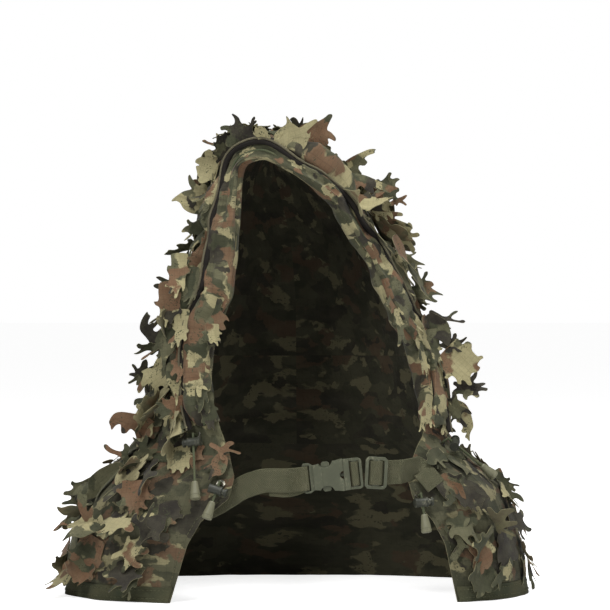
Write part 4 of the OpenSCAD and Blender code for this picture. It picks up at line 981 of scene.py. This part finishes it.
# leaves that shape the outline seen from the front: base and tip in the picture plane (x, z), width, kind, tint, roll, curl, depth
PX = lambda x, y: ((x - 297) * 1.05, (597 - y) * 1.05)
HERO = [
    (246, 152, 238, 113, 36, "prong", "dark", 0.15, 0.2, 0, "hood", 0),
    (248, 148, 256, 121, 20, "horns", "dark", 0.2, 0.2, -3, "hood", 1),
    (266, 146, 261, 127, 14, "round", "pale", 0.2, 0.2, 2, "hood", 0),
    (232, 152, 200, 140, 24, "horns", "olive", 0.15, 0.2, 0, "hood", 1),
    (236, 148, 212, 152, 34, "patch", "dark", 0.3, 0.3, 3, "hood", 0),
    (222, 170, 196, 162, 30, "round", "pale", -0.2, 0.2, 2, "hood", 0),
    (214, 196, 172, 193, 38, "fish", "olive", 0.1, 0.2, 0, "hood", 1),
    (224, 160, 220, 196, 16, "patch", "tan", 0.2, 0.2, 5, "hood", 0),
    (214, 188, 192, 178, 26, "round", "mix", 0.2, 0.3, 4, "hood", 0),
    (222, 206, 202, 226, 26, "patch", "green", 0.3, 0.2, 3, "hood", 0),
    (212, 226, 180, 230, 20, "fish", "olive", 0.4, 0.3, 0, "hood", 1),
    (206, 234, 162, 260, 15, "sickle", "green", 0.5, 0.3, 0, "hood", 0),
    (214, 234, 202, 262, 26, "patch", "brown", 0.2, 0.2, 5, "hood", 0),
    (212, 266, 186, 256, 24, "maple", "brown", 0.2, 0.3, 0, "hood", 0),
    (204, 272, 158, 292, 24, "strip", "dark", 0.3, -0.3, 0, "hood", 0),
    (198, 284, 190, 322, 22, "strip", "straw", 0.3, 0.2, 8, "hood", 1),
    (196, 296, 170, 344, 34, "prong", "dark", -0.3, 0.3, 6, "hood", 0),
    (190, 346, 202, 392, 22, "sickle", "tan", 0.3, 0.2, 8, "cowl", 1),
    (160, 348, 134, 318, 18, "sickle", "dark", 0.1, 0.2, 0, "cowl", 0),
    (168, 350, 130, 349, 16, "strip", "green", 0.2, 0.3, 0, "cowl", 0),
    (170, 354, 145, 408, 34, "fish", "straw", -0.2, -0.3, 6, "cowl", 0),
    (164, 394, 152, 428, 20, "horns", "straw", 0.1, -0.3, 7, "cowl", 0),
    (186, 402, 156, 410, 24, "patch", "brown", 0.1, 0.2, 8, "cowl", 0),
    (160, 434, 108, 414, 26, "sickle", "brown", 0.2, 0.3, 0, "cowl", 1),
    (154, 460, 134, 438, 24, "prong", "green", 0.1, 0.2, 0, "cowl", 0),
    (146, 468, 107, 446, 24, "horns", "green", 0.3, 0.3, 0, "cape", 1),
    (124, 470, 78, 492, 36, "fish", "green", 0.2, 0.2, 0, "cape", 0),
    (100, 486, 63, 512, 34, "patch", "olive", 0.3, 0.3, 0, "cape", 1),
    (184, 449, 187, 479, 30, "patch", "straw", 0.0, -0.05, -9, "cape", 0),
    (294, 154, 284, 118, 44, "fish", "pale", 0.1, 0.2, 5, "hood", 1),
    (306, 152, 326, 113, 40, "fish", "brown", 0.1, 0.2, -2, "hood", 1),
    (300, 146, 293, 119, 16, "strip", "dark", 0.1, 0.2, -3, "hood", 0),
    (326, 166, 312, 138, 20, "strip", "tan", 0.4, 0.4, 6, "hood", 0),
    (338, 176, 324, 146, 22, "sickle", "olive", 0.4, 0.3, 4, "hood", 0),
    (345, 176, 366, 142, 22, "sickle", "olive", 0.1, 0.1, -3, "hood", 0),
    (372, 198, 402, 181, 30, "patch", "green", 0.2, 0.3, 0, "hood", 0),
    (386, 202, 408, 200, 10, "strip", "brown", 0.2, 0.2, 6, "hood", 0),
    (360, 190, 398, 214, 30, "patch", "tan", -0.3, 0.4, 8, "hood", 0),
    (366, 206, 408, 244, 42, "maple", "tan", -0.3, -0.2, 6, "hood", 1),
    (398, 222, 417, 254, 26, "prong", "straw", -0.2, -0.3, 0, "hood", 0),
    (386, 256, 428, 266, 24, "fish", "tan", 0.2, 0.3, 4, "hood", 0),
    (352, 204, 396, 208, 18, "patch", "pale", 0.3, 0.3, 8, "hood", 0),
    (382, 266, 394, 316, 26, "patch", "tan", 0.1, 0.15, 8, "hood", 0),
    (394, 310, 400, 344, 16, "strip", "olive", 0.1, 0.1, 8, "hood", 1),
    (406, 286, 418, 346, 26, "fish", "tan", 0.2, 0.2, 7, "hood", 0),
    (212, 290, 224, 334, 30, "patch", "brown", 0.15, 0.15, 8, "hood", 1),
    (214, 324, 214, 346, 20, "patch", "tan", 0.1, 0.1, 9, "hood", 0),
    (190, 328, 198, 374, 24, "fish", "straw", 0.3, 0.4, 7, "hood", 0),
    (200, 352, 206, 398, 20, "strip", "straw", 0.3, 0.5, 8, "cowl", 1),
    (180, 254, 180, 300, 24, "patch", "mix", 0.4, 0.3, 20, "hood", 0),
    (170, 282, 174, 324, 28, "patch", "tan", 0.4, 0.4, 20, "hood", 1),
    (194, 268, 194, 306, 22, "patch", "green", -0.3, 0.3, 21, "hood", 0),
    (182, 310, 184, 352, 26, "patch", "straw", 0.3, 0.4, 21, "hood", 0),
    (168, 326, 170, 368, 26, "fish", "green", 0.4, 0.3, 20, "hood", 1),
    (186, 344, 186, 384, 24, "patch", "brown", 0.3, 0.3, 20, "cowl", 1),
    (174, 362, 176, 404, 24, "fish", "tan", 0.4, 0.4, 20, "cowl", 0),
    (412, 264, 424, 308, 26, "patch", "green", 0.3, 0.3, 20, "hood", 0),
    (394, 236, 408, 274, 26, "fish", "tan", 0.3, 0.3, 20, "hood", 1),
    (400, 262, 406, 300, 22, "fish", "straw", -0.3, 0.3, 21, "hood", 0),
    (410, 298, 418, 338, 26, "patch", "olive", 0.3, 0.4, 20, "hood", 1),
    (424, 316, 430, 356, 24, "fish", "brown", 0.3, 0.3, 20, "hood", 0),
    (428, 344, 434, 384, 24, "patch", "tan", 0.3, 0.3, 20, "cowl", 0),
    (152, 368, 121, 388, 32, "maple", "dark", 0.2, 0.3, 0, "cowl", 0),
    (186, 300, 192, 345, 22, "patch", "green", 0.4, 0.4, 8, "hood", 0),
    (200, 300, 204, 345, 20, "fish", "olive", -0.4, 0.4, 8, "hood", 0),
    (178, 300, 172, 345, 24, "fish", "tan", 0.3, 0.3, 6, "hood", 1),
    (190, 350, 190, 396, 24, "patch", "tan", 0.4, 0.4, 8, "cowl", 0),
    (206, 372, 202, 415, 22, "fish", "green", -0.3, 0.3, 8, "cowl", 0),
    (196, 386, 200, 418, 22, "patch", "brown", 0.2, 0.2, 5, "cowl", 1),
    (398, 284, 408, 322, 24, "fish", "green", 0.3, 0.3, 9, "hood", 1),
    (432, 330, 438, 372, 22, "patch", "olive", 0.3, 0.3, 6, "cowl", 0),
    (414, 340, 425, 384, 24, "patch", "tan", 0.3, 0.3, 8, "cowl", 1),
    (426, 366, 430, 408, 24, "fish", "brown", -0.3, 0.3, 8, "cowl", 0),
    (426, 396, 424, 432, 20, "patch", "straw", 0.2, 0.3, 8, "cowl", 0),
    (410, 288, 445, 290, 36, "maple", "green", -0.2, 0.2, 0, "hood", 0),
    (432, 312, 465, 330, 22, "horns", "dark", 0.2, 0.3, 0, "cowl", 0),
    (428, 316, 452, 348, 26, "fish", "dark", -0.2, 0.2, 4, "cowl", 1),
    (440, 346, 473, 343, 20, "prong", "dark", 0.2, 0.3, 4, "cowl", 0),
    (448, 350, 480, 380, 44, "patch", "straw", 0.0, 0.2, 6, "cowl", 1),
    (456, 384, 488, 396, 32, "maple", "dark", 0.2, 0.3, 2, "cowl", 0),
    (444, 398, 474, 424, 28, "prong", "dark", -0.2, 0.3, 2, "cowl", 1),
    (454, 402, 482, 440, 16, "sickle", "straw", 0.2, -0.2, 2, "cowl", 0),
    (438, 390, 426, 446, 16, "strip", "straw", 0.5, 0.2, 6, "cowl", 0),
    (448, 390, 438, 446, 16, "sickle", "brown", 0.4, 0.2, 3, "cowl", 1),
    (212, 442, 243, 456, 20, "horns", "brown", 0.3, -0.3, 8, "cape", 0),
    (432, 398, 418, 440, 24, "patch", "green", 0.2, 0.2, 9, "cowl", 0),
    (424, 404, 410, 436, 16, "strip", "straw", 0.3, 0.2, 8, "cowl", 1),
    (206, 392, 214, 430, 24, "patch", "dark", 0.2, 0.2, 7, "cowl", 0),
    (184, 392, 188, 420, 20, "fish", "brown", 0.2, 0.2, 4, "cowl", 1),
    (166, 428, 192, 444, 24, "prong", "green", 0.2, 0.2, 6, "cowl", 0),
    (440, 452, 416, 478, 26, "fish", "green", 0.1, 0.1, 9, "cape", 0),
    (440, 456, 424, 470, 20, "patch", "dark", 0.1, 0.1, 4, "cape", 1),
    (446, 474, 452, 508, 24, "maple", "brown", 0.1, 0.1, -2, "cape", 0),
    (134, 452, 140, 482, 34, "patch", "green", 0.1, 0.2, 5, "cape", 0),
    (140, 480, 136, 517, 44, "patch", "brown", 0.1, 0.2, 7, "cape", 0),
    (172, 500, 176, 526, 28, "patch", "dark", 0.1, 0.1, -6, "cape", 1),
    (462, 486, 466, 512, 34, "patch", "dark", 0.1, 0.2, 5, "cape", 0),
    (452, 458, 456, 488, 26, "fish", "green", 0.1, 0.1, 0, "cape", 0),
    (206, 446, 196, 470, 16, "strip", "brown", 0.1, 0.05, -8, "cape", 0),
    (224, 452, 214, 480, 20, "fish", "brown", 0.1, 0.2, 5, "cape", 1),
    (150, 458, 134, 482, 24, "patch", "dark", 0.1, 0.1, -3, "cape", 1),
    (496, 476, 514, 500, 26, "patch", "dark", 0.2, 0.1, -14, "cape", 0),
    (498, 490, 524, 514, 28, "prong", "olive", 0.3, 0.3, 0, "cape", 1),
]


def front_y(x, z):
    h = min(max(z, 1.0), 480.0)
    r = abs(x - float(tab(T_X, h))) / float(tab(T_A, h))
    if r > 0.97:
        return -24.0 - Y_MID
    return float(form(u_of(x, h), h)[1])


def heroes():
    r = np.random.default_rng(7)
    bs = {"hood": Batch(), "cowl": Batch(), "cape": Batch()}
    for bx, by, tx, ty, wid, kind, tint, roll, curl, depth, where, flip in HERO:
        (x0, z0), (x1, z1) = PX(bx, by), PX(tx, ty)
        y0 = front_y(x0, z0) - 5 - depth
        y1 = y0 - 3 + 6 * abs(roll)
        if depth >= 20:
            # sewn over the rolled edge of the face opening, which stands in front of the draped form
            side = -1 if x0 < 0 else 1
            roll *= 0.5
            lie = []
            for x, z in ((x0, z0), (x1, z1)):
                i = z_at(side, z)
                w = float(np.clip((x - E_P[i][0]) / (side * max(abs(E_W[i][0]), 0.5)), 0, 48))
                lie.append(float(E_P[i][1] + w * E_W[i][1]) - 8.5 - 1.5 * (depth - 20))
            y0, y1 = lie
        base, tip = np.array([x0, y0, z0]), np.array([x1, y1, z1])
        L = float(np.linalg.norm(tip - base))
        Y = (tip - base) / L
        Z = np.array([0.0, -1.0, 0.0]) if depth < 20 else np.array(E_V[z_at(side, (z0 + z1) / 2)], float)
        Z = unit(Z - Y * float(Z @ Y))
        X = np.cross(Y, Z)
        X, Z = X * math.cos(roll) + Z * math.sin(roll), Z * math.cos(roll) - X * math.sin(roll)
        V, F, M, P = leaf_solid(kind, L, wid * 1.05 / NATURAL[kind], r, curl=curl, cup=0.3, twist=r.normal(0, 0.2), ripple=0.9, flip=flip)
        Q = drape(place(V, base, X, Y, Z), 4.0 + (max(depth, 0) * 0.6 if depth < 20 else 0))
        P = P + np.array([r.uniform(-900, 900), r.uniform(-900, 900), r.uniform(-300, 300)])
        bs[where].add(Q, F, M, P, np.array(TINTS[tint]) * (1.25 if bx < 297 else 1.06))
    for where, b in bs.items():
        o = b.build("leaves_outline_" + where, LEAF_MATS, "cloth_straw", 40)
        if where == "cowl":
            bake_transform(o)
        else:
            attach(o, where)


heroes()


# ---------------------------------------------------------------- webbing
def resample(P, step):
    """Catmull-Rom through stations of any number of columns, then even spacing by the first three."""
    P = np.asarray(P, float)
    Q = np.concatenate([[2 * P[0] - P[1]], P, [2 * P[-1] - P[-2]]])
    out = []
    for i in range(1, len(Q) - 2):
        a, b, c, d = Q[i - 1], Q[i], Q[i + 1], Q[i + 2]
        for t in np.linspace(0, 1, 12, endpoint=False):
            out.append(0.5 * (2 * b + (c - a) * t + (2 * a - 5 * b + 4 * c - d) * t**2 + (3 * b - a - 3 * c + d) * t**3))
    out.append(Q[-2])
    out = np.array(out)
    d = np.concatenate([[0], np.cumsum(np.linalg.norm(np.diff(out[:, :3], axis=0), axis=1))])
    n = max(3, int(d[-1] / step) + 1)
    e = np.linspace(0, d[-1], n)
    return np.stack([np.interp(e, d, out[:, k]) for k in range(out.shape[1])], 1), e


def ribbon(name, pts, wdir, width, thick, step=1.2, mat=None, seed=0.0):
    """Webbing through points with a width direction at each: rounded selvedges and a slightly pillowed section."""
    S, e = resample(np.concatenate([np.asarray(pts, float), np.asarray(wdir, float)], 1), step)
    P, W = S[:, :3], unit(S[:, 3:6])
    T = unit(np.gradient(P, axis=0))
    W = unit(W - (W * T).sum(1, keepdims=True) * T)
    N = np.cross(W, T)
    a, b = width / 2, thick / 2
    xs = np.linspace(-1, 1, 15)
    top = [(x * (a - b * 0.6), b * (1 - 0.12 * x * x)) for x in xs]
    bot = [(-x * (a - b * 0.6), -b * (1 - 0.12 * x * x)) for x in xs]
    sec = np.array(top + [(a, b * 0.45), (a, -b * 0.45)] + bot + [(-a, -b * 0.45), (-a, b * 0.45)])
    n = len(sec)
    ripple = 0.10 * np.sin(e * 4.4)[:, None]
    V = (P[:, None] + (sec[None, :, 0:1]) * W[:, None] + (sec[None, :, 1] + np.sign(sec[None, :, 1]) * ripple * 0.4)[..., None] * N[:, None]).reshape(-1, 3)
    pat = np.stack([np.tile(sec[:, 0], len(P)), np.repeat(e, n), np.full(len(V), seed)], -1)
    return add_obj(name, V, tube_faces(len(P), n), [mat or M_WEB], None, pat, None, 60)


B0 = np.array([48, -122 - Y_MID, 132.5])
rise = math.radians(6)
BX, BY, BZ = np.array([math.cos(rise), 0, math.sin(rise)]), np.array([0, 1.0, 0]), np.array([-math.sin(rise), 0, math.cos(rise)])
bl = lambda x, y, z=0.0: B0 + x * BX + y * BY + z * BZ

run = [(-94, -99.5, 96, 32), (-84, -101.5, 101, 30), (-74, -103, 107, 26), (-64, -105, 113, 20), (-54, -110, 119, 10), (-44, -115.5, 123, 2), (-34, -120, 126, -3), (-22, -123.4, 126.6, -5), (-12, -124.6, 126.4, -6)]
pts = [(x, y - Y_MID, z) for x, y, z, _ in run]
wd = [(math.sin(math.radians(l)), 0, math.cos(math.radians(l))) for *_, l in run]
loop = [(-50, -3.5, 0), (-44, -3.9, 0), (-39.8, -3.8, 0), (-37.2, -3, 0), (-36.2, 0, 0), (-37.2, 3, 0), (-39.8, 3.8, -0.4), (-45, 3.4, -2.2), (-52, 1.6, -4.2), (-60, 0.2, -4.6), (-68, 0.4, -3.4), (-76, 2.0, -2.0)]
pts += [tuple(bl(x, y, z)) for x, y, z in loop]
wd += [tuple(BZ)] * len(loop)
o = ribbon("strap_left_webbing", pts, wd, 25, 1.5)
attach(o, "cape"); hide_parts("strap_web_left")

wrap = [(15.1, 2.4), (15.1, -1.4), (14.2, -3), (12.8, -3.5), (10.4, -3.5), (8.9, -3), (8, -1.4), (8, 1.6), (8.8, 3), (10.4, 3.5), (14, 3.5), (17, 3.3), (19.8, 3.3)]
o = ribbon("plug_turn_webbing", [tuple(bl(x, y)) for x, y in wrap], [tuple(BZ)] * len(wrap), 24.4, 1.1, 0.8)
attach(o, "plug"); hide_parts("plug_web_wrap")
S0 = np.array([81.6, -121 - Y_MID, 134.2])
tl = math.radians(3)
SX, SZ = np.array([math.cos(tl), 0, -math.sin(tl)]), np.array([math.sin(tl), 0, math.cos(tl)])
sw = [(-6.4, 1.4), (-6.2, -0.6), (-4.8, -2.6), (-2.8, -3.3), (0, -3.5), (2.8, -3.3), (4.8, -2.6), (6.2, -0.6), (6.4, 1.4)]
o = ribbon("slider_turn_webbing", [tuple(S0 + x * SX + np.array([0, y, 0])) for x, y in sw], [tuple(SZ)] * len(sw), 24.4, 1.1, 0.8)
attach(o, "slider"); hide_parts("slider_web_wrap")

right = [(72, -115.8, 134, 2), (82, -116.2, 134, 3), (92, -116.2, 134.4, 4), (101, -116.2, 134.6, 6), (109, -116.2, 135.4, 12)]
pts = [(x, y - Y_MID, z) for x, y, z, _ in right]
wd = [(math.sin(math.radians(l)), 0, math.cos(math.radians(l))) for *_, l in right]
for x, h in [(124, 133.5), (130, 128.5), (135.5, 122.5), (141.5, 115.5)]:
    u = float(u_of(x, h)); n = normal(u, h); q = form(u, h) + n * (CLOTH + 3.4 + max(0.0, float(wrinkle(u, h))) * 0.7)
    t = unit(np.array([6, 0, -7.3])); w = unit(np.cross(n, t))
    pts.append(tuple(q)); wd.append(tuple(w))
o = ribbon("strap_right_webbing", pts, wd, 25, 1.5)
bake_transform(o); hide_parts("strap_web_right")


# ---------------------------------------------------------------- cords
def rope(name, P, r, mat, turns_per_mm=0.16, n=14, step=0.6):
    """A braided cord: crossing strands raise a diamond relief on the surface."""
    S, e = resample(np.asarray(P, float), step)
    T = unit(np.gradient(S, axis=0))
    ref = np.array([0.3, 0.9, 0.1])
    A = unit(np.cross(T, ref)); Bn = np.cross(T, A)
    ph = np.linspace(0, 2 * math.pi, n, endpoint=False)
    E, PH = np.meshgrid(e, ph, indexing="ij")
    rel = np.cos(4 * (PH + 2 * math.pi * turns_per_mm * E)) * np.cos(4 * (PH - 2 * math.pi * turns_per_mm * E))
    R = r * (1 + 0.07 * rel)
    R[0] *= 0.7; R[-1] *= 0.7
    V = (S[:, None] + (R * np.cos(PH))[..., None] * A[:, None] + (R * np.sin(PH))[..., None] * Bn[:, None]).reshape(-1, 3)
    pat = np.stack([E.ravel(), (PH * r).ravel(), np.zeros(E.size)], -1)
    return add_obj(name, V, tube_faces(len(S), n), [mat], None, pat, None, 70)


def tail_frame(k):
    us = [(float(u_of(-103, 171)), 171, float(u_of(-102, 104)), 104, 57, 9.5), (66, 160, 74, 116, 52, 9.5), (float(u_of(-78, 121)), 121, float(u_of(-90, 88)), 88, 27, 8.5), (float(u_of(125, 109)), 109, float(u_of(130, 76)), 76, 27, 8.5)]
    q = us[k]
    skin = lambda u, h, off: form(u, h) + off * normal(u, h)
    a, b = skin(q[0], q[1], CLOTH + q[5]), skin(q[2], q[3], CLOTH + q[5])
    z = unit(a - b)
    n = (normal(q[0], q[1]) + normal(q[2], q[3])) / 2
    y = unit(n - float(n @ z) * z)
    return a, y, z, q, skin(q[0], q[1], CLOTH + 0.2), normal(q[0], q[1])


TAILS = ["brow_left", "brow_right", "neck_left", "neck_right"]
exits = []
for k, key in enumerate(TAILS):
    a, y, z, q, s0, n0 = tail_frame(k)
    o = rope("cord_tail_" + key, [a + z * 1.2, a, a - z * 6, a - z * (q[4] * 0.5), a - z * (q[4] - 1), a - z * (q[4] + 2)], 1.28, M_CORD)
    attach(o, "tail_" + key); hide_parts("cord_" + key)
    exits.append((s0, n0, a, z))
b = Batch()
for s0, n0, a, z in exits:
    S, e = resample(np.array([s0 - n0 * 1.5, s0 + n0 * 2.5, s0 * 0.35 + a * 0.65 + n0 * 1.0, a + n0 * 0.4]), 0.6)
    T = unit(np.gradient(S, axis=0)); A = unit(np.cross(T, np.array([0.3, 0.2, 0.9]))); Bn = np.cross(T, A)
    ph = np.linspace(0, 2 * math.pi, 12, endpoint=False)
    E, PH = np.meshgrid(e, ph, indexing="ij")
    R = 1.25 * (1 + 0.07 * np.cos(4 * (PH + E)) * np.cos(4 * (PH - E)))
    V = (S[:, None] + (R * np.cos(PH))[..., None] * A[:, None] + (R * np.sin(PH))[..., None] * Bn[:, None]).reshape(-1, 3)
    F = tube_faces(len(S), 12)
    b.add(V, F, [0] * len(F), np.stack([E.ravel(), PH.ravel(), E.ravel() * 0], -1), (0, 0, 0))
o = b.build("cord_exits_braid", [M_CORD], "cord", 70)
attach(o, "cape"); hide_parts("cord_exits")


# ---------------------------------------------------------------- stitching
def stitch(batch, p, q, n, r=0.38):
    """One thread stitch from p to q lying on a surface with normal n: a small rounded bar that dips at both ends."""
    t = unit(q - p); s = np.cross(t, n)
    L = np.linalg.norm(q - p)
    rings = []
    ph = np.linspace(0, 2 * math.pi, 6, endpoint=False)
    for f, rr, up in ((0, 0.35, -0.35), (0.12, 0.85, 0.1), (0.5, 1.0, 0.35), (0.88, 0.85, 0.1), (1, 0.35, -0.35)):
        c = p + t * L * f + n * up
        rings.append(c + (r * rr * np.cos(ph))[:, None] * s + (r * rr * np.sin(ph))[:, None] * n)
    V = np.concatenate(rings)
    F = tube_faces(5, 6)
    batch.add(V, F, [0] * len(F), V * 1.0, (0, 0, 0))


def surface_row(batch, us, hs, off, length=3.0, every=4.4):
    """Stitches along a line on the draped form."""
    q = form(us, hs); n = normal(us, hs); w = wrinkle(us, hs)
    P = q + n * (w + off)[:, None]
    d = np.concatenate([[0], np.cumsum(np.linalg.norm(np.diff(P, axis=0), axis=1))])
    at = np.arange(1, d[-1] - length, every)
    f = lambda e, arr: np.stack([np.interp(e, d, arr[:, k]) for k in range(3)], -1)
    A, B_, N = f(at, P), f(at + length, P), unit(f(at + length / 2, n))
    for i in range(len(at)):
        stitch(batch, A[i], B_[i], N[i])


b = Batch()
for h in (4.0, 12.5):
    us = np.linspace(float(u_right(h)) + 1, 360 + float(u_left(h)) - 1, 900)
    surface_row(b, us, np.full_like(us, h), 2.7)
for h in (142.6, 147.8):
    us = np.linspace(float(u_right(h)) + 19, 360 + float(u_left(h)) - 17, 700)
    surface_row(b, us, np.full_like(us, h), 2.6)
for c in (92.1, 267.9):
    for du in (-1.9, 1.9):
        hs = np.linspace(18, 140, 220)
        surface_row(b, np.full_like(hs, c + du), hs, 2.6)
for side in (-1, 1):
    hs = np.linspace(20, 148, 260)
    us = np.array([float(u_left(h)) - 1.6 if side < 0 else float(u_right(h)) + 1.6 for h in hs])
    surface_row(b, us, hs, 1.4)
o = b.build("cape_stitching", [M_THREAD], "cord", 60)
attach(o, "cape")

b = Batch()
for du in (-2.8, 2.8):
    hs = np.linspace(254, 464, 420)
    surface_row(b, np.full_like(hs, 180 + du), hs, 2.6)
o = b.build("hood_stitching", [M_THREAD], "cord", 60)
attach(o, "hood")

# box stitch where the left strap doubles back behind the socket
b = Batch()


def strap_stitch(corners, n, every=2.6, length=1.9):
    for p, q in zip(corners[:-1], corners[1:]):
        d = np.linalg.norm(q - p)
        t = (q - p) / d
        for e in np.arange(0.2, d - length, every):
            stitch(b, p + t * e, p + t * (e + length), n, 0.32)


f = -4.75
for x0, x1 in ((-57, -45),):
    c = [bl(x0, f, -10.5), bl(x1, f, -10.5), bl(x1, f, 10.5), bl(x0, f, 10.5), bl(x0, f, -10.5), bl(x1, f, 10.5)]
    strap_stitch(c, -BY)
    strap_stitch([bl(x0, f, 10.5), bl(x1, f, -10.5)], -BY)
o = b.build("strap_left_stitching", [M_THREAD], "cord", 60)
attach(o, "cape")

# ---------------------------------------------------------------- moulded and metal parts, kept from the frame
BEVEL = {"buckle_socket": 0.7, "buckle_plug": 0.6, "prong_upper": 0.45, "prong_lower": 0.45, "slider_bar_frame": 0.8}
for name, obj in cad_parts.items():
    if obj.hide_render:
        continue
    if name.startswith("bell_"):
        mat = M_BELL
    elif name.startswith("lock_spring"):
        mat = M_SPRING
    elif name == "eyelets":
        mat = M_METAL
    elif name.startswith("lock_"):
        mat = M_LOCK
    else:
        mat = M_RESIN
    obj.data.materials.clear()
    obj.data.materials.append(mat)
    if name.startswith("lock_spring"):
        key = name[len("lock_spring_"):]
        k = TAILS.index(key)
        a, y, z = tail_frame(k)[:3]
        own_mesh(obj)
    if name in BEVEL or name.startswith(("lock_barrel", "lock_button")):
        weld = obj.modifiers.new("weld", "WELD")
        weld.merge_threshold = 0.00002
        bv = obj.modifiers.new("bevel", "BEVEL")
        bv.width = BEVEL.get(name, 0.3) * MM
        bv.segments = 3
        bv.limit_method = "ANGLE"
        bv.angle_limit = math.radians(38)
        bv.use_clamp_overlap = True

# ---------------------------------------------------------------- stage, light and camera
floor_mesh = bpy.data.meshes.new("floor")
fv = [(x, y, -0.0006) for y in (-40.0, 40.0) for x in (-40.0, 40.0)]
ff = [(0, 1, 3, 2)]
floor_mesh.from_pydata(fv, [], ff)
floor = bpy.data.objects.new("floor", floor_mesh)
bpy.context.scene.collection.objects.link(floor)
fm, fnt, fb = new_mat("studio_floor")
fb.inputs["Base Color"].default_value = (0.93, 0.93, 0.93, 1)
fb.inputs["Roughness"].default_value = 0.9
fb.inputs["Emission Color"].default_value = (1, 1, 1, 1)
fb.inputs["Emission Strength"].default_value = 0.28
floor_mesh.materials.append(fm)

world = bpy.data.worlds.new("studio")
world.use_nodes = True
wnt = world.node_tree
wg = G(wnt)
ray = wg.node("ShaderNodeLightPath").outputs["Is Camera Ray"]
back = wnt.nodes["Background"]
back.inputs[0].default_value = (1, 1, 1, 1)
wg.put(back.inputs[1], wg.range(ray, 0.0, 1.0, 0.22, 1.0))
fg = G(fnt)
fg.put(fb.inputs["Emission Strength"], fg.range(fg.node("ShaderNodeLightPath").outputs["Is Camera Ray"], 0.0, 1.0, 0.02, 0.77))
bpy.context.scene.world = world


def area(name, loc, target, size, power, color=(1, 1, 1)):
    d = bpy.data.lights.new(name, "AREA")
    d.energy, d.size, d.color = power, size, color
    o = bpy.data.objects.new(name, d)
    o.location = loc
    o.rotation_euler = (Vector(target) - Vector(loc)).to_track_quat("-Z", "Y").to_euler()
    bpy.context.scene.collection.objects.link(o)
    return o


key = area("key", (-1.1, -1.9, 1.9), (0, 0, 0.28), 0.6, 27)
fill = area("fill", (1.8, -1.5, 1.0), (0, 0, 0.28), 1.0, 5.5)
top = area("top", (0.2, -0.55, 2.0), (0, 0, 0.3), 0.8, 33)

cam_data = bpy.data.cameras.new("camera")
cam = bpy.data.objects.new("camera", cam_data)
bpy.context.scene.collection.objects.link(cam)
cam.location = (0.0084, -2.66, 0.3066)
cam.rotation_euler = (math.radians(90), 0, 0)
cam_data.lens = 36 * 2.58 / 0.6405
cam_data.sensor_width = 36
bpy.context.scene.camera = cam
bpy.context.scene.view_settings.view_transform = "Standard"
bpy.context.scene.view_settings.look = "None"
